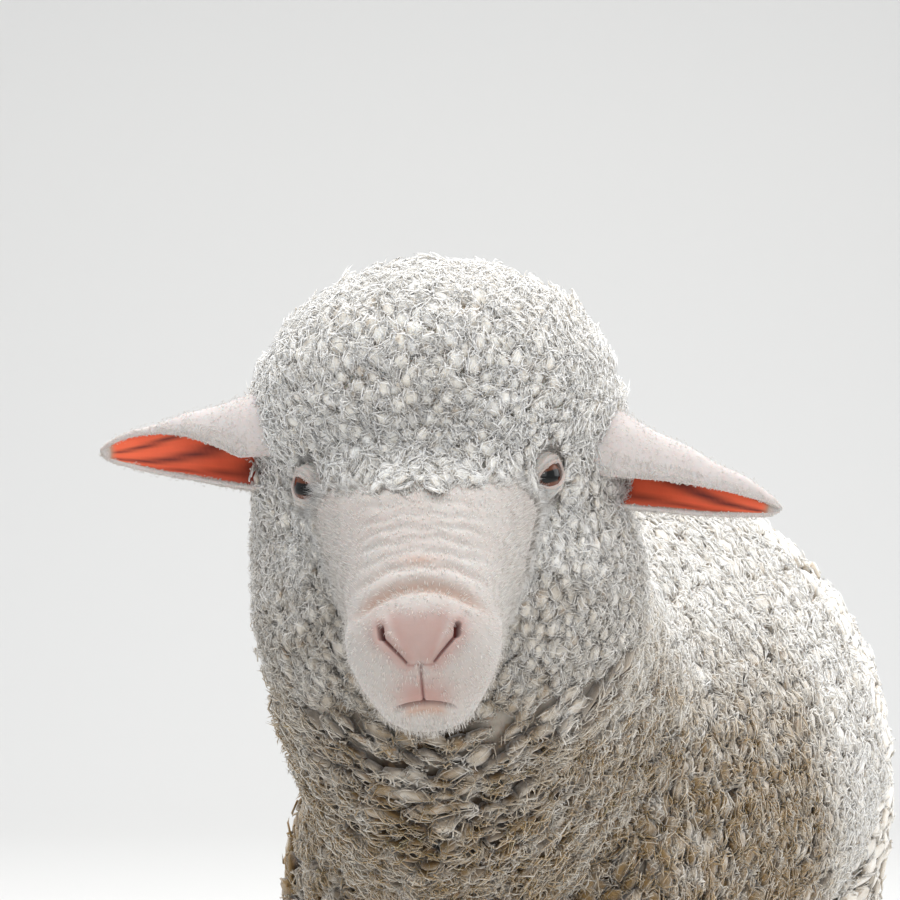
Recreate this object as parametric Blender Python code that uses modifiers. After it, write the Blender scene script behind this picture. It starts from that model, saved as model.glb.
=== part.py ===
"""A young Merino sheep standing at ease, life size, for Blender 4.5.

The solids reach to the tips of the fleece.  The body is modelled whole, as one smooth form, and
parted by thin cuts into head, neck, trunk and legs.  Ears, eyes, tail, hooves and dewclaws are
pieces of their own, seated with a hair's gap.

Metres, +Z up.  The sheep looks towards -Y with its head turned to its left (+X).  The floor is
z = 0, and the origin is the middle of the bounding box's underside.
"""

import math

import bmesh
import bpy
from mathutils import Matrix, Vector

# ------------------------------------------------------------------ driving sizes

WITHERS = 0.622  # height of the back over the shoulders, in the fleece
BELLY = 0.262  # height of the underline
BARREL = 0.166  # half the width of the body at the ribs, in the fleece
CHEST_Y = -0.300  # foremost point of the chest
RUMP_Y = 0.385  # hindmost point of the rump

GAP = 0.0003  # clear space between neighbouring pieces
SEAT_GAP = 0.0005  # clear space where a piece is seated on a curved body
FORM_POINTS = 32  # points round a section of a form that is fused into another
PIECE_POINTS = 12  # points round a section of a small piece
BODY_GRAIN = 0.008  # size of the cells in which the body's forms are fused
HEAD_GRAIN = 0.0032  # and the head's
BODY_TRIANGLES = 3600  # faces that the fused body is thinned to
HEAD_TRIANGLES = 3000  # and the fused head

HEAD_TURN = math.radians(19.8)  # the head turned to the sheep's left
HEAD_ROLL = math.radians(-3.0)  # the left eye carried a little higher than the right
EYE_HEIGHT = 0.632
EYES_AT = Vector((0.084, -0.465, EYE_HEIGHT))  # midway between the two eyes
EYE_SPREAD = 0.0540  # from the middle of the head to an eye's centre
EYE_RADIUS = 0.0125

NOSE_PITCH = math.radians(45.0)  # how far the line of the nose points below level
NOSE_FRONT = -0.112  # foremost point of the nose, from the eyes' midpoint
BROW = Vector((0.0, -0.030, 0.020))  # where the nose line starts, from the eyes' midpoint

EAR_LENGTH = 0.090  # from the fleece to the tip
EAR_ROOT = 0.022  # what lies in the fleece
EAR_HALF_HEIGHT = 0.0228  # where it leaves the fleece
EAR_TIP = 0.0016  # half the ear's height at its tip
EAR_THICKNESS = 0.0034
EAR_ROOT_AT = (0.090, 0.040)  # out from the middle of the head, and behind the eyes

# Each ear: side, height of its root above the eyes, droop and backward sweep in degrees, and how far
# its front edge is rolled over at the fleece and at the tip, in degrees above level.
EARS = (
    (1, 0.005, 19.0, 3.0, (-20, 20)),
    (-1, 0.023, 0.0, 18.0, (-16, 80)),
)

CLAW_LENGTH = 0.050  # of one half of a hoof, on the floor
CLAW_WIDTH = 0.020
CLAW_APART = 0.0108  # from the middle of the foot to the middle of each claw
HOOF_HEIGHT = 0.034
DEWCLAW = Vector((0.0052, 0.0058, 0.0088))  # radii
DEWCLAW_APART = 0.0092
NAPE = Vector((0, 0.125, 0))  # where the cut behind the head starts, from the eyes' midpoint
NAPE_TILT = math.radians(-38)  # how far that cut leans back from upright
NECK_BASE = Vector((0, -0.245, 0.460))  # a point of the cut between neck and trunk
NECK_BASE_TILT = math.radians(-24)
FOREARM_TOP = 0.260  # the cut between body and forearm
THIGH_TOP = 0.282  # the cut between body and thigh
KNEE_Z = 0.188  # the cut between forearm and cannon
HOCK_Z = 0.205  # the cut between thigh and hind cannon

# The body in the fleece, from chest to rump: y, top, bottom, half width.
TRUNK = (
    (CHEST_Y, 0.500, 0.395, 0.040),
    (CHEST_Y + 0.030, 0.555, 0.330, 0.078),
    (-0.200, WITHERS - 0.018, 0.292, 0.115),
    (-0.100, WITHERS, BELLY + 0.008, 0.147),
    (0.040, WITHERS - 0.006, BELLY, BARREL),
    (0.190, WITHERS, 0.286, BARREL),
    (0.290, WITHERS - 0.010, 0.330, 0.152),
    (RUMP_Y - 0.025, 0.580, 0.380, 0.110),
    (RUMP_Y, 0.525, 0.440, 0.055),
)
WIDEST = 0.36  # where the body is widest, as a share of its depth up from the underline

# How full a section is above and below its widest line: 2 is an ellipse, less leaner, more squarer.
TRUNK_FULLNESS = (1.6, 2.3)
NECK_FULLNESS = (2.0, 1.7)
LEG_FULLNESS = (2.1, 2.1)
FACE_FULLNESS = (2.4, 2.4)
ELLIPSE = (2.0, 2.0)

# The neck in the fleece, from the withers to the back of the head: x, y and z of its axis, half
# width, rise above the axis and drop below it.
NECK = (
    (0.000, -0.120, 0.450, 0.126, 0.155, 0.140),
    (0.010, -0.215, 0.500, 0.117, 0.134, 0.158),
    (0.032, -0.305, 0.548, 0.108, 0.114, 0.160),
    (0.052, -0.370, 0.588, 0.103, 0.104, 0.144),
    (0.066, -0.415, 0.614, 0.095, 0.092, 0.112),
)

# A left leg from the top down: x, y, z, half width, half depth.
FORELEG = (
    (0.066, -0.150, 0.480, 0.040, 0.080),
    (0.088, -0.160, 0.400, 0.048, 0.078),
    (0.094, -0.166, 0.340, 0.044, 0.068),
    (0.092, -0.168, 0.285, 0.039, 0.052),
    (0.090, -0.172, 0.238, 0.034, 0.039),
    (0.087, -0.177, 0.195, 0.0285, 0.0310),
    (0.086, -0.176, 0.155, 0.0210, 0.0225),
    (0.086, -0.175, 0.115, 0.0175, 0.0185),
    (0.086, -0.178, 0.074, 0.0212, 0.0218),
    (0.086, -0.187, 0.050, 0.0188, 0.0182),
    (0.086, -0.195, 0.026, 0.0200, 0.0180),
)
HINDLEG = (
    (0.066, 0.240, 0.500, 0.050, 0.090),
    (0.096, 0.250, 0.420, 0.058, 0.100),
    (0.104, 0.260, 0.350, 0.052, 0.082),
    (0.101, 0.276, 0.300, 0.044, 0.062),
    (0.098, 0.300, 0.255, 0.036, 0.044),
    (0.097, 0.318, 0.215, 0.0275, 0.0345),
    (0.096, 0.312, 0.165, 0.0215, 0.0240),
    (0.096, 0.303, 0.118, 0.0178, 0.0190),
    (0.096, 0.297, 0.075, 0.0215, 0.0222),
    (0.096, 0.287, 0.050, 0.0190, 0.0184),
    (0.096, 0.279, 0.026, 0.0202, 0.0182),
)

# The tail, from its root down: y, z, half width, half depth.
TAIL = (
    (RUMP_Y - 0.060, 0.545, 0.034, 0.030),
    (RUMP_Y - 0.012, 0.528, 0.038, 0.032),
    (RUMP_Y + 0.010, 0.475, 0.037, 0.028),
    (RUMP_Y + 0.010, 0.415, 0.031, 0.023),
    (RUMP_Y + 0.002, 0.372, 0.018, 0.015),
)

# The bare face along the nose line: distance, rise and drop from that line, half width.
FACE = (
    (-0.050, -0.014, 0.094, 0.0540),
    (-0.008, 0.001, 0.101, 0.0600),
    (0.020, 0.004, 0.098, 0.0540),
    (0.045, 0.004, 0.090, 0.0460),
    (0.070, 0.003, 0.080, 0.0395),
    (0.090, 0.002, 0.073, 0.0368),
    (0.108, 0.001, 0.071, 0.0384),
    (0.123, -0.006, 0.068, 0.0352),
    (0.134, -0.020, 0.055, 0.0235),
)

# Fleece on the head, a little fuller on its left, from the eyes' midpoint: centre, radii.
HEAD_FLEECE = (
    (Vector((0.003, 0.058, 0.036)), Vector((0.0955, 0.096, 0.0765))),  # cap
    (Vector((0.000, 0.026, 0.046)), Vector((0.0800, 0.066, 0.0600))),  # forelock
    (Vector((0.003, 0.060, -0.002)), Vector((0.0980, 0.075, 0.0700))),  # temples
    (Vector((0.005, 0.055, -0.060)), Vector((0.1030, 0.072, 0.1000))),  # ruff
)


# ------------------------------------------------------------------ small tools


def clear_scene():
    for item in list(bpy.data.objects):
        bpy.data.objects.remove(item, do_unlink=True)


def collection(name):
    made = bpy.data.collections.new(name)
    bpy.context.scene.collection.children.link(made)
    return made


def finish(name, colour, roughness):
    """A plain material: base colour, roughness, no metal."""
    made = bpy.data.materials.new(name)
    made.use_nodes = True
    shader = made.node_tree.nodes["Principled BSDF"]
    shader.inputs["Base Color"].default_value = (*colour, 1.0)
    shader.inputs["Roughness"].default_value = roughness
    shader.inputs["Metallic"].default_value = 0.0
    return made


def from_bmesh(name, shape, home):
    """An object holding this bmesh, with its faces turned outwards."""
    bmesh.ops.recalc_face_normals(shape, faces=shape.faces)
    mesh = bpy.data.meshes.new(name)
    shape.to_mesh(mesh)
    shape.free()
    made = bpy.data.objects.new(name, mesh)
    home.objects.link(made)
    return made


def along(stations, steps):
    """Stations resampled on a smooth curve that passes through each of them (Catmull-Rom)."""
    rows = [stations[0], *stations, stations[-1]]
    fine = []
    for i in range(1, len(rows) - 2):
        before, here, there, after = rows[i - 1 : i + 3]
        for k in range(steps):
            t = k / steps
            fine.append(
                tuple(
                    0.5
                    * (
                        2 * q
                        + (r - p) * t
                        + (2 * p - 5 * q + 4 * r - s) * t * t
                        + (3 * q - p - 3 * r + s) * t * t * t
                    )
                    for p, q, r, s in zip(before, here, there, after)
                )
            )
    fine.append(tuple(stations[-1]))
    return fine


def oval(centre, side, up, half_width, rise, drop, fullness, points=FORM_POINTS):
    """A closed ring: half_width each way along side, rise above the centre and drop below it."""
    ring = []
    for k in range(points):
        angle = math.tau * k / points
        c, s = math.cos(angle), math.sin(angle)
        reach, full = (rise, fullness[0]) if s >= 0 else (-drop, fullness[1])
        across = half_width * math.copysign(abs(c) ** (2 / full), c)
        ring.append(centre + side * across + up * reach * abs(s) ** (2 / full))
    return ring


def loft(name, rings, home):
    """A closed skin over rings of equal length, with flat ends."""
    shape = bmesh.new()
    rows = [[shape.verts.new(point) for point in ring] for ring in rings]
    for near, far in zip(rows, rows[1:]):
        for k in range(len(near)):
            n = (k + 1) % len(near)
            shape.faces.new((near[k], near[n], far[n], far[k]))
    shape.faces.new(rows[0])
    shape.faces.new(rows[-1])
    return from_bmesh(name, shape, home)


def ball(name, centre, radii, home, segments=32, rings=20):
    shape = bmesh.new()
    bmesh.ops.create_uvsphere(shape, u_segments=segments, v_segments=rings, radius=1.0)
    bmesh.ops.scale(shape, vec=radii, verts=shape.verts)
    bmesh.ops.translate(shape, vec=centre, verts=shape.verts)
    return from_bmesh(name, shape, home)


def block(name, low, high, home):
    shape = bmesh.new()
    bmesh.ops.create_cube(shape, size=1.0)
    bmesh.ops.scale(shape, vec=high - low, verts=shape.verts)
    bmesh.ops.translate(shape, vec=(low + high) / 2, verts=shape.verts)
    return from_bmesh(name, shape, home)


def place(item, frame):
    """Moves the item's own mesh, so that its origin stays at the world's."""
    item.data.transform(frame)
    return item


def settle(item):
    """Replaces the item's mesh by what its modifiers make of it."""
    bpy.context.view_layer.update()
    seen = item.evaluated_get(bpy.context.evaluated_depsgraph_get())
    made = bpy.data.meshes.new_from_object(seen)
    item.modifiers.clear()
    item.data = made
    return item


def fuse(name, pieces, home, voxel, smoothing, triangles):
    """One closed form from overlapping pieces: joined, their creases smoothed, then thinned."""
    shape = bmesh.new()
    for piece in pieces:
        shape.from_mesh(piece.data)
    made = from_bmesh(name, shape, home)
    remesh = made.modifiers.new("fuse", "REMESH")
    remesh.mode = "VOXEL"
    remesh.voxel_size = voxel
    smooth = made.modifiers.new("smooth", "SMOOTH")
    smooth.factor = 0.5
    smooth.iterations = smoothing
    settle(made)
    thin = made.modifiers.new("thin", "DECIMATE")
    thin.ratio = triangles / (2 * len(made.data.polygons))
    return settle(made)


def combine(item, other, operation):
    """An exact Boolean of item with other, applied."""
    change = item.modifiers.new(operation.lower(), "BOOLEAN")
    change.operation = operation
    change.solver = "EXACT"
    change.object = other
    return settle(item)


def copy_of(item, name, home):
    made = bpy.data.objects.new(name, item.data.copy())
    home.objects.link(made)
    return made


def grown(item, home):
    """A copy of a closed piece, swollen along its normals, used to cut its neighbour."""
    made = copy_of(item, item.name + ".cutter", home)
    swell = made.modifiers.new("swell", "DISPLACE")
    swell.strength = SEAT_GAP
    swell.mid_level = 0.0
    return settle(made)


def part_off(name, body, low, high, frame, home, cutters):
    """Cuts what lies in a turned box off the body, as a piece of its own, GAP clear of the rest."""
    keep = place(block(name + ".keep", low, high, cutters), frame)
    room = Vector((GAP, GAP, GAP))
    remove = place(block(name + ".remove", low - room, high + room, cutters), frame)
    piece = copy_of(body, name, home)
    combine(piece, keep, "INTERSECT")
    combine(body, remove, "DIFFERENCE")
    return piece


# ------------------------------------------------------------------ the forms


def head_frame():
    """From the head's own axes, with the origin midway between the eyes, to the world."""
    turn = Matrix.Rotation(HEAD_TURN, 4, "Z")
    roll = Matrix.Rotation(HEAD_ROLL, 4, "Y")
    return Matrix.Translation(EYES_AT) @ turn @ roll


def trunk_form(home):
    x_axis, z_axis = Vector((1, 0, 0)), Vector((0, 0, 1))
    rings = []
    for y, top, bottom, half_width in along(TRUNK, 5):
        drop = (top - bottom) * WIDEST
        centre = Vector((0, y, bottom + drop))
        rise = top - centre.z
        rings.append(oval(centre, x_axis, z_axis, half_width, rise, drop, TRUNK_FULLNESS))
    return loft("trunk.form", rings, home)


def neck_form(home):
    rows = along(NECK, 5)
    rings = []
    for i, (x, y, z, half_width, rise, drop) in enumerate(rows):
        behind = Vector(rows[max(i - 1, 0)][:3])
        ahead = Vector(rows[min(i + 1, len(rows) - 1)][:3])
        forward = (ahead - behind).normalized()
        side = forward.cross(Vector((0, 0, 1))).normalized()
        up = side.cross(forward)
        rings.append(oval(Vector((x, y, z)), side, up, half_width, rise, drop, NECK_FULLNESS))
    return loft("neck.form", rings, home)


def leg_form(name, stations, side, home, steps=4, points=FORM_POINTS):
    across, ahead = Vector((1, 0, 0)), Vector((0, 1, 0))
    rings = []
    for x, y, z, half_width, half_depth in along(stations, steps):
        centre = Vector((side * x, y, z))
        ring = oval(centre, across, ahead, half_width, half_depth, half_depth, LEG_FULLNESS, points)
        rings.append(ring)
    return loft(name, rings, home)


def head_forms(home):
    """The bare face as a loft along the nose line, and the fleece as overlapping balls."""
    side = Vector((1, 0, 0))
    forward = Vector((0, -math.cos(NOSE_PITCH), -math.sin(NOSE_PITCH)))
    up = Vector((0, -math.sin(NOSE_PITCH), math.cos(NOSE_PITCH)))
    rings = []
    for distance, rise, drop, half_width in along(FACE, 5):
        half_height = (rise + drop) / 2
        centre = BROW + forward * distance + up * (rise - half_height)
        rings.append(oval(centre, side, up, half_width, half_height, half_height, FACE_FULLNESS))
    forms = [loft("face.form", rings, home)]
    for centre, radii in HEAD_FLEECE:
        forms.append(ball("fleece.form", centre, radii, home))
    frame = head_frame()
    return [place(form, frame) for form in forms]


# ------------------------------------------------------------------ the pieces


def open_nose_and_mouth(head, cutters):
    """Two slanting nostrils and the line of the lips, cut into the muzzle."""
    for side in (1, -1):
        slit = ball("nostril", Vector((0, 0, 0)), Vector((0.0028, 0.0070, 0.0095)), cutters, 12, 8)
        lean = Matrix.Rotation(side * math.radians(38), 4, "Y")
        spot = Matrix.Translation(Vector((side * 0.0165, NOSE_FRONT + 0.004, -0.0665)))
        combine(head, place(slit, head_frame() @ spot @ lean), "DIFFERENCE")
    between_lips = Vector((0, NOSE_FRONT + 0.020, -0.0985))
    lips = ball("lips", between_lips, Vector((0.027, 0.017, 0.0012)), cutters, 20, 6)
    combine(head, place(lips, head_frame()), "DIFFERENCE")


def make_eye(side, home, cutters, head):
    """An eyeball in a round socket of the head, with the lids' opening before it."""
    name = "eye_left" if side > 0 else "eye_right"
    centre = Vector((side * EYE_SPREAD, 0, 0))
    room = Vector((EYE_RADIUS + GAP,) * 3)
    socket = ball(name + ".socket", centre, room, cutters, PIECE_POINTS, 8)
    combine(head, place(socket, head_frame()), "DIFFERENCE")
    before_eye = Vector((side * (EYE_SPREAD + 0.012), -0.012, -0.001))
    opening = ball(name + ".opening", before_eye, Vector((0.0155, 0.0155, 0.0115)), cutters, 14, 10)
    combine(head, place(opening, head_frame()), "DIFFERENCE")
    eye = ball(name, centre, Vector((EYE_RADIUS,) * 3), home, PIECE_POINTS, 8)
    return place(eye, head_frame())


def ear_arc(x, curl, points, way):
    """The ear's section at x along it: an arc from the front edge over the top, round the back.

    It runs on the outer face of the wall where way is 1, and on the inner face where it is -1.
    """
    s = min(1.0, max(0.0, x / EAR_LENGTH))
    height = EAR_HALF_HEIGHT * (1 - s) ** 0.75 + EAR_TIP
    depth = height * (0.80 - 0.40 * s)
    wall = way * min(EAR_THICKNESS / 2, 0.4 * depth)
    start = math.radians(curl[0] + (curl[1] - curl[0]) * s)
    stop = math.radians(290 - 25 * s)
    arc = []
    for k in range(points):
        angle = start + (stop - start) * k / (points - 1)
        y = -math.cos(angle) * (depth + wall)
        z = math.sin(angle) * (height + wall)
        arc.append(Vector((x, y, z)))
    return arc


def make_ear(side, height_at_root, droop, sweep, curl, home, cutters, head):
    """A leaf-shaped ear: a trough that opens forwards and down."""
    name = "ear_left" if side > 0 else "ear_right"
    shape = bmesh.new()
    rows, columns = 10, 7
    rings = []
    for i in range(rows):
        x = -EAR_ROOT + (EAR_LENGTH + EAR_ROOT) * i / (rows - 1)
        outer = ear_arc(x, curl, columns, 1)
        inner = ear_arc(x, curl, columns, -1)
        rings.append([shape.verts.new(point) for point in outer + inner[::-1]])
    around = 2 * columns
    for near, far in zip(rings, rings[1:]):
        for k in range(around):
            n = (k + 1) % around
            shape.faces.new((near[k], near[n], far[n], far[k]))
    for ring in (rings[0], rings[-1]):
        for k in range(columns - 1):
            shape.faces.new((ring[k], ring[k + 1], ring[around - 2 - k], ring[around - 1 - k]))
    bmesh.ops.scale(shape, vec=Vector((side, 1, 1)), verts=shape.verts)
    ear = from_bmesh(name, shape, home)
    hang = Matrix.Rotation(side * math.radians(droop), 4, "Y")
    back = Matrix.Rotation(side * math.radians(sweep), 4, "Z")
    root = Matrix.Translation(Vector((side * EAR_ROOT_AT[0], EAR_ROOT_AT[1], height_at_root)))
    place(ear, head_frame() @ root @ back @ hang)
    return combine(ear, grown(head, cutters), "DIFFERENCE")


def make_claw(name, centre, outward, home):
    """One half of a cloven hoof: flat sole, upright inner wall, sloping toe."""
    levels = 4
    rings = []
    for level in range(levels):
        t = level / (levels - 1)
        half_length = CLAW_LENGTH / 2 * (1 - 0.30 * t)
        half_width = CLAW_WIDTH / 2 * (1 - 0.12 * t)
        ring = []
        for k in range(PIECE_POINTS):
            angle = math.tau * k / PIECE_POINTS
            c, s = math.cos(angle), math.sin(angle)
            # The toe narrows towards the cleft.
            toe = 1 - 0.35 * max(0.0, -s) ** 2
            x = c * half_width * toe - 0.6 * outward * half_width * (1 - toe)
            ring.append(centre + Vector((x, s * half_length + 0.011 * t, HOOF_HEIGHT * t)))
        rings.append(ring)
    return loft(name, rings, home)


def make_foot(name, leg, stations, side, home, cutters):
    """Two claws under the pastern and two dewclaws behind the fetlock."""
    pieces = []
    fetlock, pastern = stations[-3], stations[-1]
    for which, outward in (("outer", side), ("inner", -side)):
        sole = Vector((side * pastern[0] + outward * CLAW_APART, pastern[1] - 0.010, 0.0))
        pieces.append(make_claw(f"{name}_claw_{which}", sole, outward, home))
        behind = fetlock[1] + fetlock[4] - 0.0015
        spot = Vector((side * fetlock[0] + outward * DEWCLAW_APART, behind, fetlock[2] - 0.002))
        seat = ball("seat", spot, DEWCLAW + Vector((GAP, GAP, GAP)), cutters, 7, 4)
        combine(leg, seat, "DIFFERENCE")
        pieces.append(ball(f"{name}_dewclaw_{which}", spot, DEWCLAW, home, 7, 4))
    return pieces


def make_leg(name, stations, tops, side, body, home, cutters):
    """A leg in two lengths below the body, with its foot: cut at tops[0] and tops[1]."""
    side_name = "left" if side > 0 else "right"
    full_name = f"{name}_{side_name}"
    top, joint = tops
    inner, outer = side * 0.045, side * 0.300
    y = stations[2][1]
    low = Vector((min(inner, outer), y - 0.085, -0.05))
    high = Vector((max(inner, outer), y + 0.150, top))
    upper = part_off(full_name + "_upper", body, low, high, Matrix.Identity(4), home, cutters)
    below = block("below", Vector((-1, -1, -1)), Vector((1, 1, joint + GAP)), cutters)
    combine(upper, below, "DIFFERENCE")
    lower = leg_form(full_name + "_lower", stations, side, home, 2, PIECE_POINTS)
    floor_side = Vector((-1, -1, HOOF_HEIGHT + GAP))
    span = block("span", floor_side, Vector((1, 1, joint)), cutters)
    combine(lower, span, "INTERSECT")
    return [upper, lower, *make_foot(full_name, lower, stations, side, home, cutters)]


def make_tail(home, cutters, trunk):
    side, out = Vector((1, 0, 0)), Vector((0, 1, 0.35)).normalized()
    rings = []
    for y, z, half_width, half_depth in along(TAIL, 3):
        middle = Vector((0, y, z))
        ring = oval(middle, side, out, half_width, half_depth, half_depth, ELLIPSE, PIECE_POINTS)
        rings.append(ring)
    tail = loft("tail", rings, home)
    return combine(tail, grown(trunk, cutters), "DIFFERENCE")


def centre_on_origin(items):
    """Shifts every piece so that the bounding box stands on the origin."""
    low, high = Vector((9, 9, 9)), Vector((-9, -9, -9))
    for item in items:
        for vertex in item.data.vertices:
            low = Vector(map(min, low, vertex.co))
            high = Vector(map(max, high, vertex.co))
    shift = Vector((-(low.x + high.x) / 2, -(low.y + high.y) / 2, -low.z))
    for item in items:
        item.data.transform(Matrix.Translation(shift))


def dress(item, materials):
    """Gives a piece the material that its name calls for, and smooth shading."""
    item.data.materials.clear()
    for word, material in materials.items():
        if word in item.name:
            item.data.materials.append(material)
            break
    item.data.shade_smooth()
    item.data.set_sharp_from_angle(angle=math.radians(50))


def main():
    clear_scene()
    sheep, cutters = collection("sheep"), collection("cutters")
    cutters.hide_render = True

    legs = (
        ("foreleg", FORELEG, (FOREARM_TOP, KNEE_Z)),
        ("hindleg", HINDLEG, (THIGH_TOP, HOCK_Z)),
    )
    head_parts = [neck_form(cutters), *head_forms(cutters)]
    body_parts = [trunk_form(cutters), *head_parts]
    for name, stations, _ in legs:
        for side in (1, -1):
            body_parts.append(leg_form(name + ".form", stations, side, cutters))
    body = fuse("trunk", body_parts, sheep, BODY_GRAIN, 5, BODY_TRIANGLES)
    whole_head = fuse("head.form", head_parts, cutters, HEAD_GRAIN, 8, HEAD_TRIANGLES)

    # The head keeps the finer mesh, in front of the cut behind it, and the body all the rest.
    behind = head_frame() @ Matrix.Translation(NAPE) @ Matrix.Rotation(NAPE_TILT, 4, "X")
    low, high = Vector((-0.6, -0.6, -0.6)), Vector((0.6, 0, 0.6))
    head = copy_of(whole_head, "head", sheep)
    combine(head, place(block("head.keep", low, high, cutters), behind), "INTERSECT")
    wider = high + Vector((0, GAP, 0))
    combine(body, place(block("head.remove", low, wider, cutters), behind), "DIFFERENCE")
    base = Matrix.Translation(NECK_BASE) @ Matrix.Rotation(NECK_BASE_TILT, 4, "X")
    neck = part_off("neck", body, low, high, base, sheep, cutters)

    pieces = [head, neck, body]
    for name, stations, tops in legs:
        for side in (1, -1):
            pieces += make_leg(name, stations, tops, side, body, sheep, cutters)
    pieces.append(make_tail(sheep, cutters, body))
    open_nose_and_mouth(head, cutters)
    for side in (1, -1):
        pieces.append(make_eye(side, sheep, cutters, head))
    for side, height_at_root, droop, sweep, curl in EARS:
        pieces.append(make_ear(side, height_at_root, droop, sweep, curl, sheep, cutters, head))

    skin = finish("bare_skin", (0.86, 0.80, 0.77), 0.70)
    wool = finish("wool", (0.62, 0.58, 0.51), 0.95)
    materials = {
        "claw": finish("hoof_horn", (0.20, 0.17, 0.14), 0.45),
        "eye": finish("eye", (0.10, 0.05, 0.03), 0.08),
        "ear": skin,
        "lower": skin,
        "": wool,
    }
    for piece in pieces:
        dress(piece, materials)
    centre_on_origin(pieces)
    for helper in list(cutters.objects):
        bpy.data.objects.remove(helper, do_unlink=True)


main()
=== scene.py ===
"""The looks of a life-size young Merino sheep: skin, fleece, ears, eyes, hooves and a plain studio.

One skin stands for every piece of flesh and lies inside it by the depth of the fleece.  The fleece
is solid mesh: staples grown from the skin by Geometry Nodes, out to where the solids reach.
"""

import math
from contextlib import contextmanager

import bmesh
import bpy
import numpy as np
from mathutils import Euler, Matrix, Vector


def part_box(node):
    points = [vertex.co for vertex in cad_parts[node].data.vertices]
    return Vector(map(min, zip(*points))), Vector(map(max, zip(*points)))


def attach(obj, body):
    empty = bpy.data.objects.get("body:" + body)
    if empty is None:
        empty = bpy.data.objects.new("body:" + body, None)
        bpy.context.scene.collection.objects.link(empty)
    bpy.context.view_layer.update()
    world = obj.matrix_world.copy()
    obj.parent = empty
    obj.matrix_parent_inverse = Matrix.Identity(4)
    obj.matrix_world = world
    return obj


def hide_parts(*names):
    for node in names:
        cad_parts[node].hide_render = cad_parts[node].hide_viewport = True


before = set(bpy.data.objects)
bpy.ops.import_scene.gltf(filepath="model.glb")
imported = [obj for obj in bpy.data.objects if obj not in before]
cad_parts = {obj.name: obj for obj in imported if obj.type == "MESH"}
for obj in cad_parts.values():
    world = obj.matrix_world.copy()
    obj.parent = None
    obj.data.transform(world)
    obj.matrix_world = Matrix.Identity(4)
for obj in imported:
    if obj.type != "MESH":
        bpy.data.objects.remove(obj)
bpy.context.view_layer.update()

bl_info = {
    "name": "Merino sheep",
    "version": (1, 0, 0),
    "blender": (4, 5, 0),
    "location": "View3D > Sidebar > Sheep",
    "description": "Builds the skin, fleece, ears, eyes and hooves of a young Merino sheep",
    "category": "Object",
}

LEGS = ("foreleg_left", "foreleg_right", "hindleg_left", "hindleg_right")
CLAWS = tuple(f"{leg}_claw_{side}" for leg in LEGS for side in ("inner", "outer"))
DEWCLAWS = tuple(f"{leg}_dewclaw_{side}" for leg in LEGS for side in ("inner", "outer"))
LIMBS = tuple(f"{leg}_{part}" for leg in LEGS for part in ("upper", "lower"))
BODY_NODES = ("trunk", "neck", "head", "tail") + LIMBS
EAR_NODES = ("ear_left", "ear_right")

# ------------------------------------------------------------------ the head's own axes


def middle(node):
    low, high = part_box(node)
    return (low + high) / 2


def head_axes():
    """The point midway between the eyes, and the head's axes as rows: its left, back and up."""
    left, right = middle("eye_left"), middle("eye_right")
    x = (left - right).normalized()
    y = Vector((0, 0, 1)).cross(x).normalized()
    return np.array((left + right) / 2), np.array([x, y, x.cross(y)])


HEAD_AT, HEAD_AXES = head_axes()
EYE_OUT = (middle("eye_left") - middle("eye_right")).length / 2


def to_head(points):
    return (points - HEAD_AT) @ HEAD_AXES.T


def from_head(points):
    return HEAD_AT + np.asarray(points, float) @ HEAD_AXES


# ------------------------------------------------------------------ named sizes

SKIN_GRAIN = 0.0058  # cells in which the flesh is fused into one skin
OVERLAP = 0.0005  # swells each piece, so that the cuts between them close

# Where the face is bare: the nose line starts at BROW and points down at NOSE_PITCH.
BROW = np.array((0.0, -0.030, 0.020))
NOSE_PITCH = math.radians(45.0)
NOSE_AHEAD = np.array((0.0, -math.cos(NOSE_PITCH), -math.sin(NOSE_PITCH)))
NOSE_ABOVE = np.array((0.0, -math.sin(NOSE_PITCH), math.cos(NOSE_PITCH)))
FACE_FULLNESS = 2.4
# Distance along the nose line, rise and drop from it, half width.
FACE = (
    (-0.050, -0.014, 0.094, 0.0540),
    (-0.008, 0.001, 0.101, 0.0600),
    (0.020, 0.004, 0.098, 0.0540),
    (0.045, 0.004, 0.090, 0.0460),
    (0.070, 0.003, 0.080, 0.0395),
    (0.090, 0.002, 0.073, 0.0368),
    (0.108, 0.001, 0.071, 0.0384),
    (0.123, -0.006, 0.068, 0.0352),
    (0.134, -0.020, 0.055, 0.0235),
)
# Fleece on the head, in its own axes: centre, radii.
HEAD_FLEECE = (
    ((0.003, 0.058, 0.036), (0.0955, 0.096, 0.0765)),
    ((0.000, 0.026, 0.046), (0.0800, 0.066, 0.0600)),
    ((0.003, 0.060, -0.002), (0.0980, 0.075, 0.0700)),
    ((0.005, 0.055, -0.060), (0.1030, 0.072, 0.1000)),
)

EYE_RADIUS = 0.0125
GAZE_OUT = math.radians(50)  # how far each eye looks sideways
PUPIL_OUT = math.radians(36)  # where the ball itself is turned
EYE_SLANT = math.radians(20)  # outer corner of the lids above the inner one
LIDS_LONG = math.radians(50)  # half the opening's length, seen from the eye's centre
LIDS_HIGH = math.radians(25)
EYE_BLEND = 0.005  # how widely the face's skin runs into the swell over the ball
ALMOND = 1.8  # 2 would make the opening an ellipse, less points its corners

# Depth of the fleece and of short hair.
CAP_DEPTH = 0.0065
CHEEK_DEPTH = 0.0065
NECK_DEPTH = 0.0100
BODY_DEPTH = 0.0100
SHANK_DEPTH = 0.007
HAIR_DEPTH = 0.0010

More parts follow.
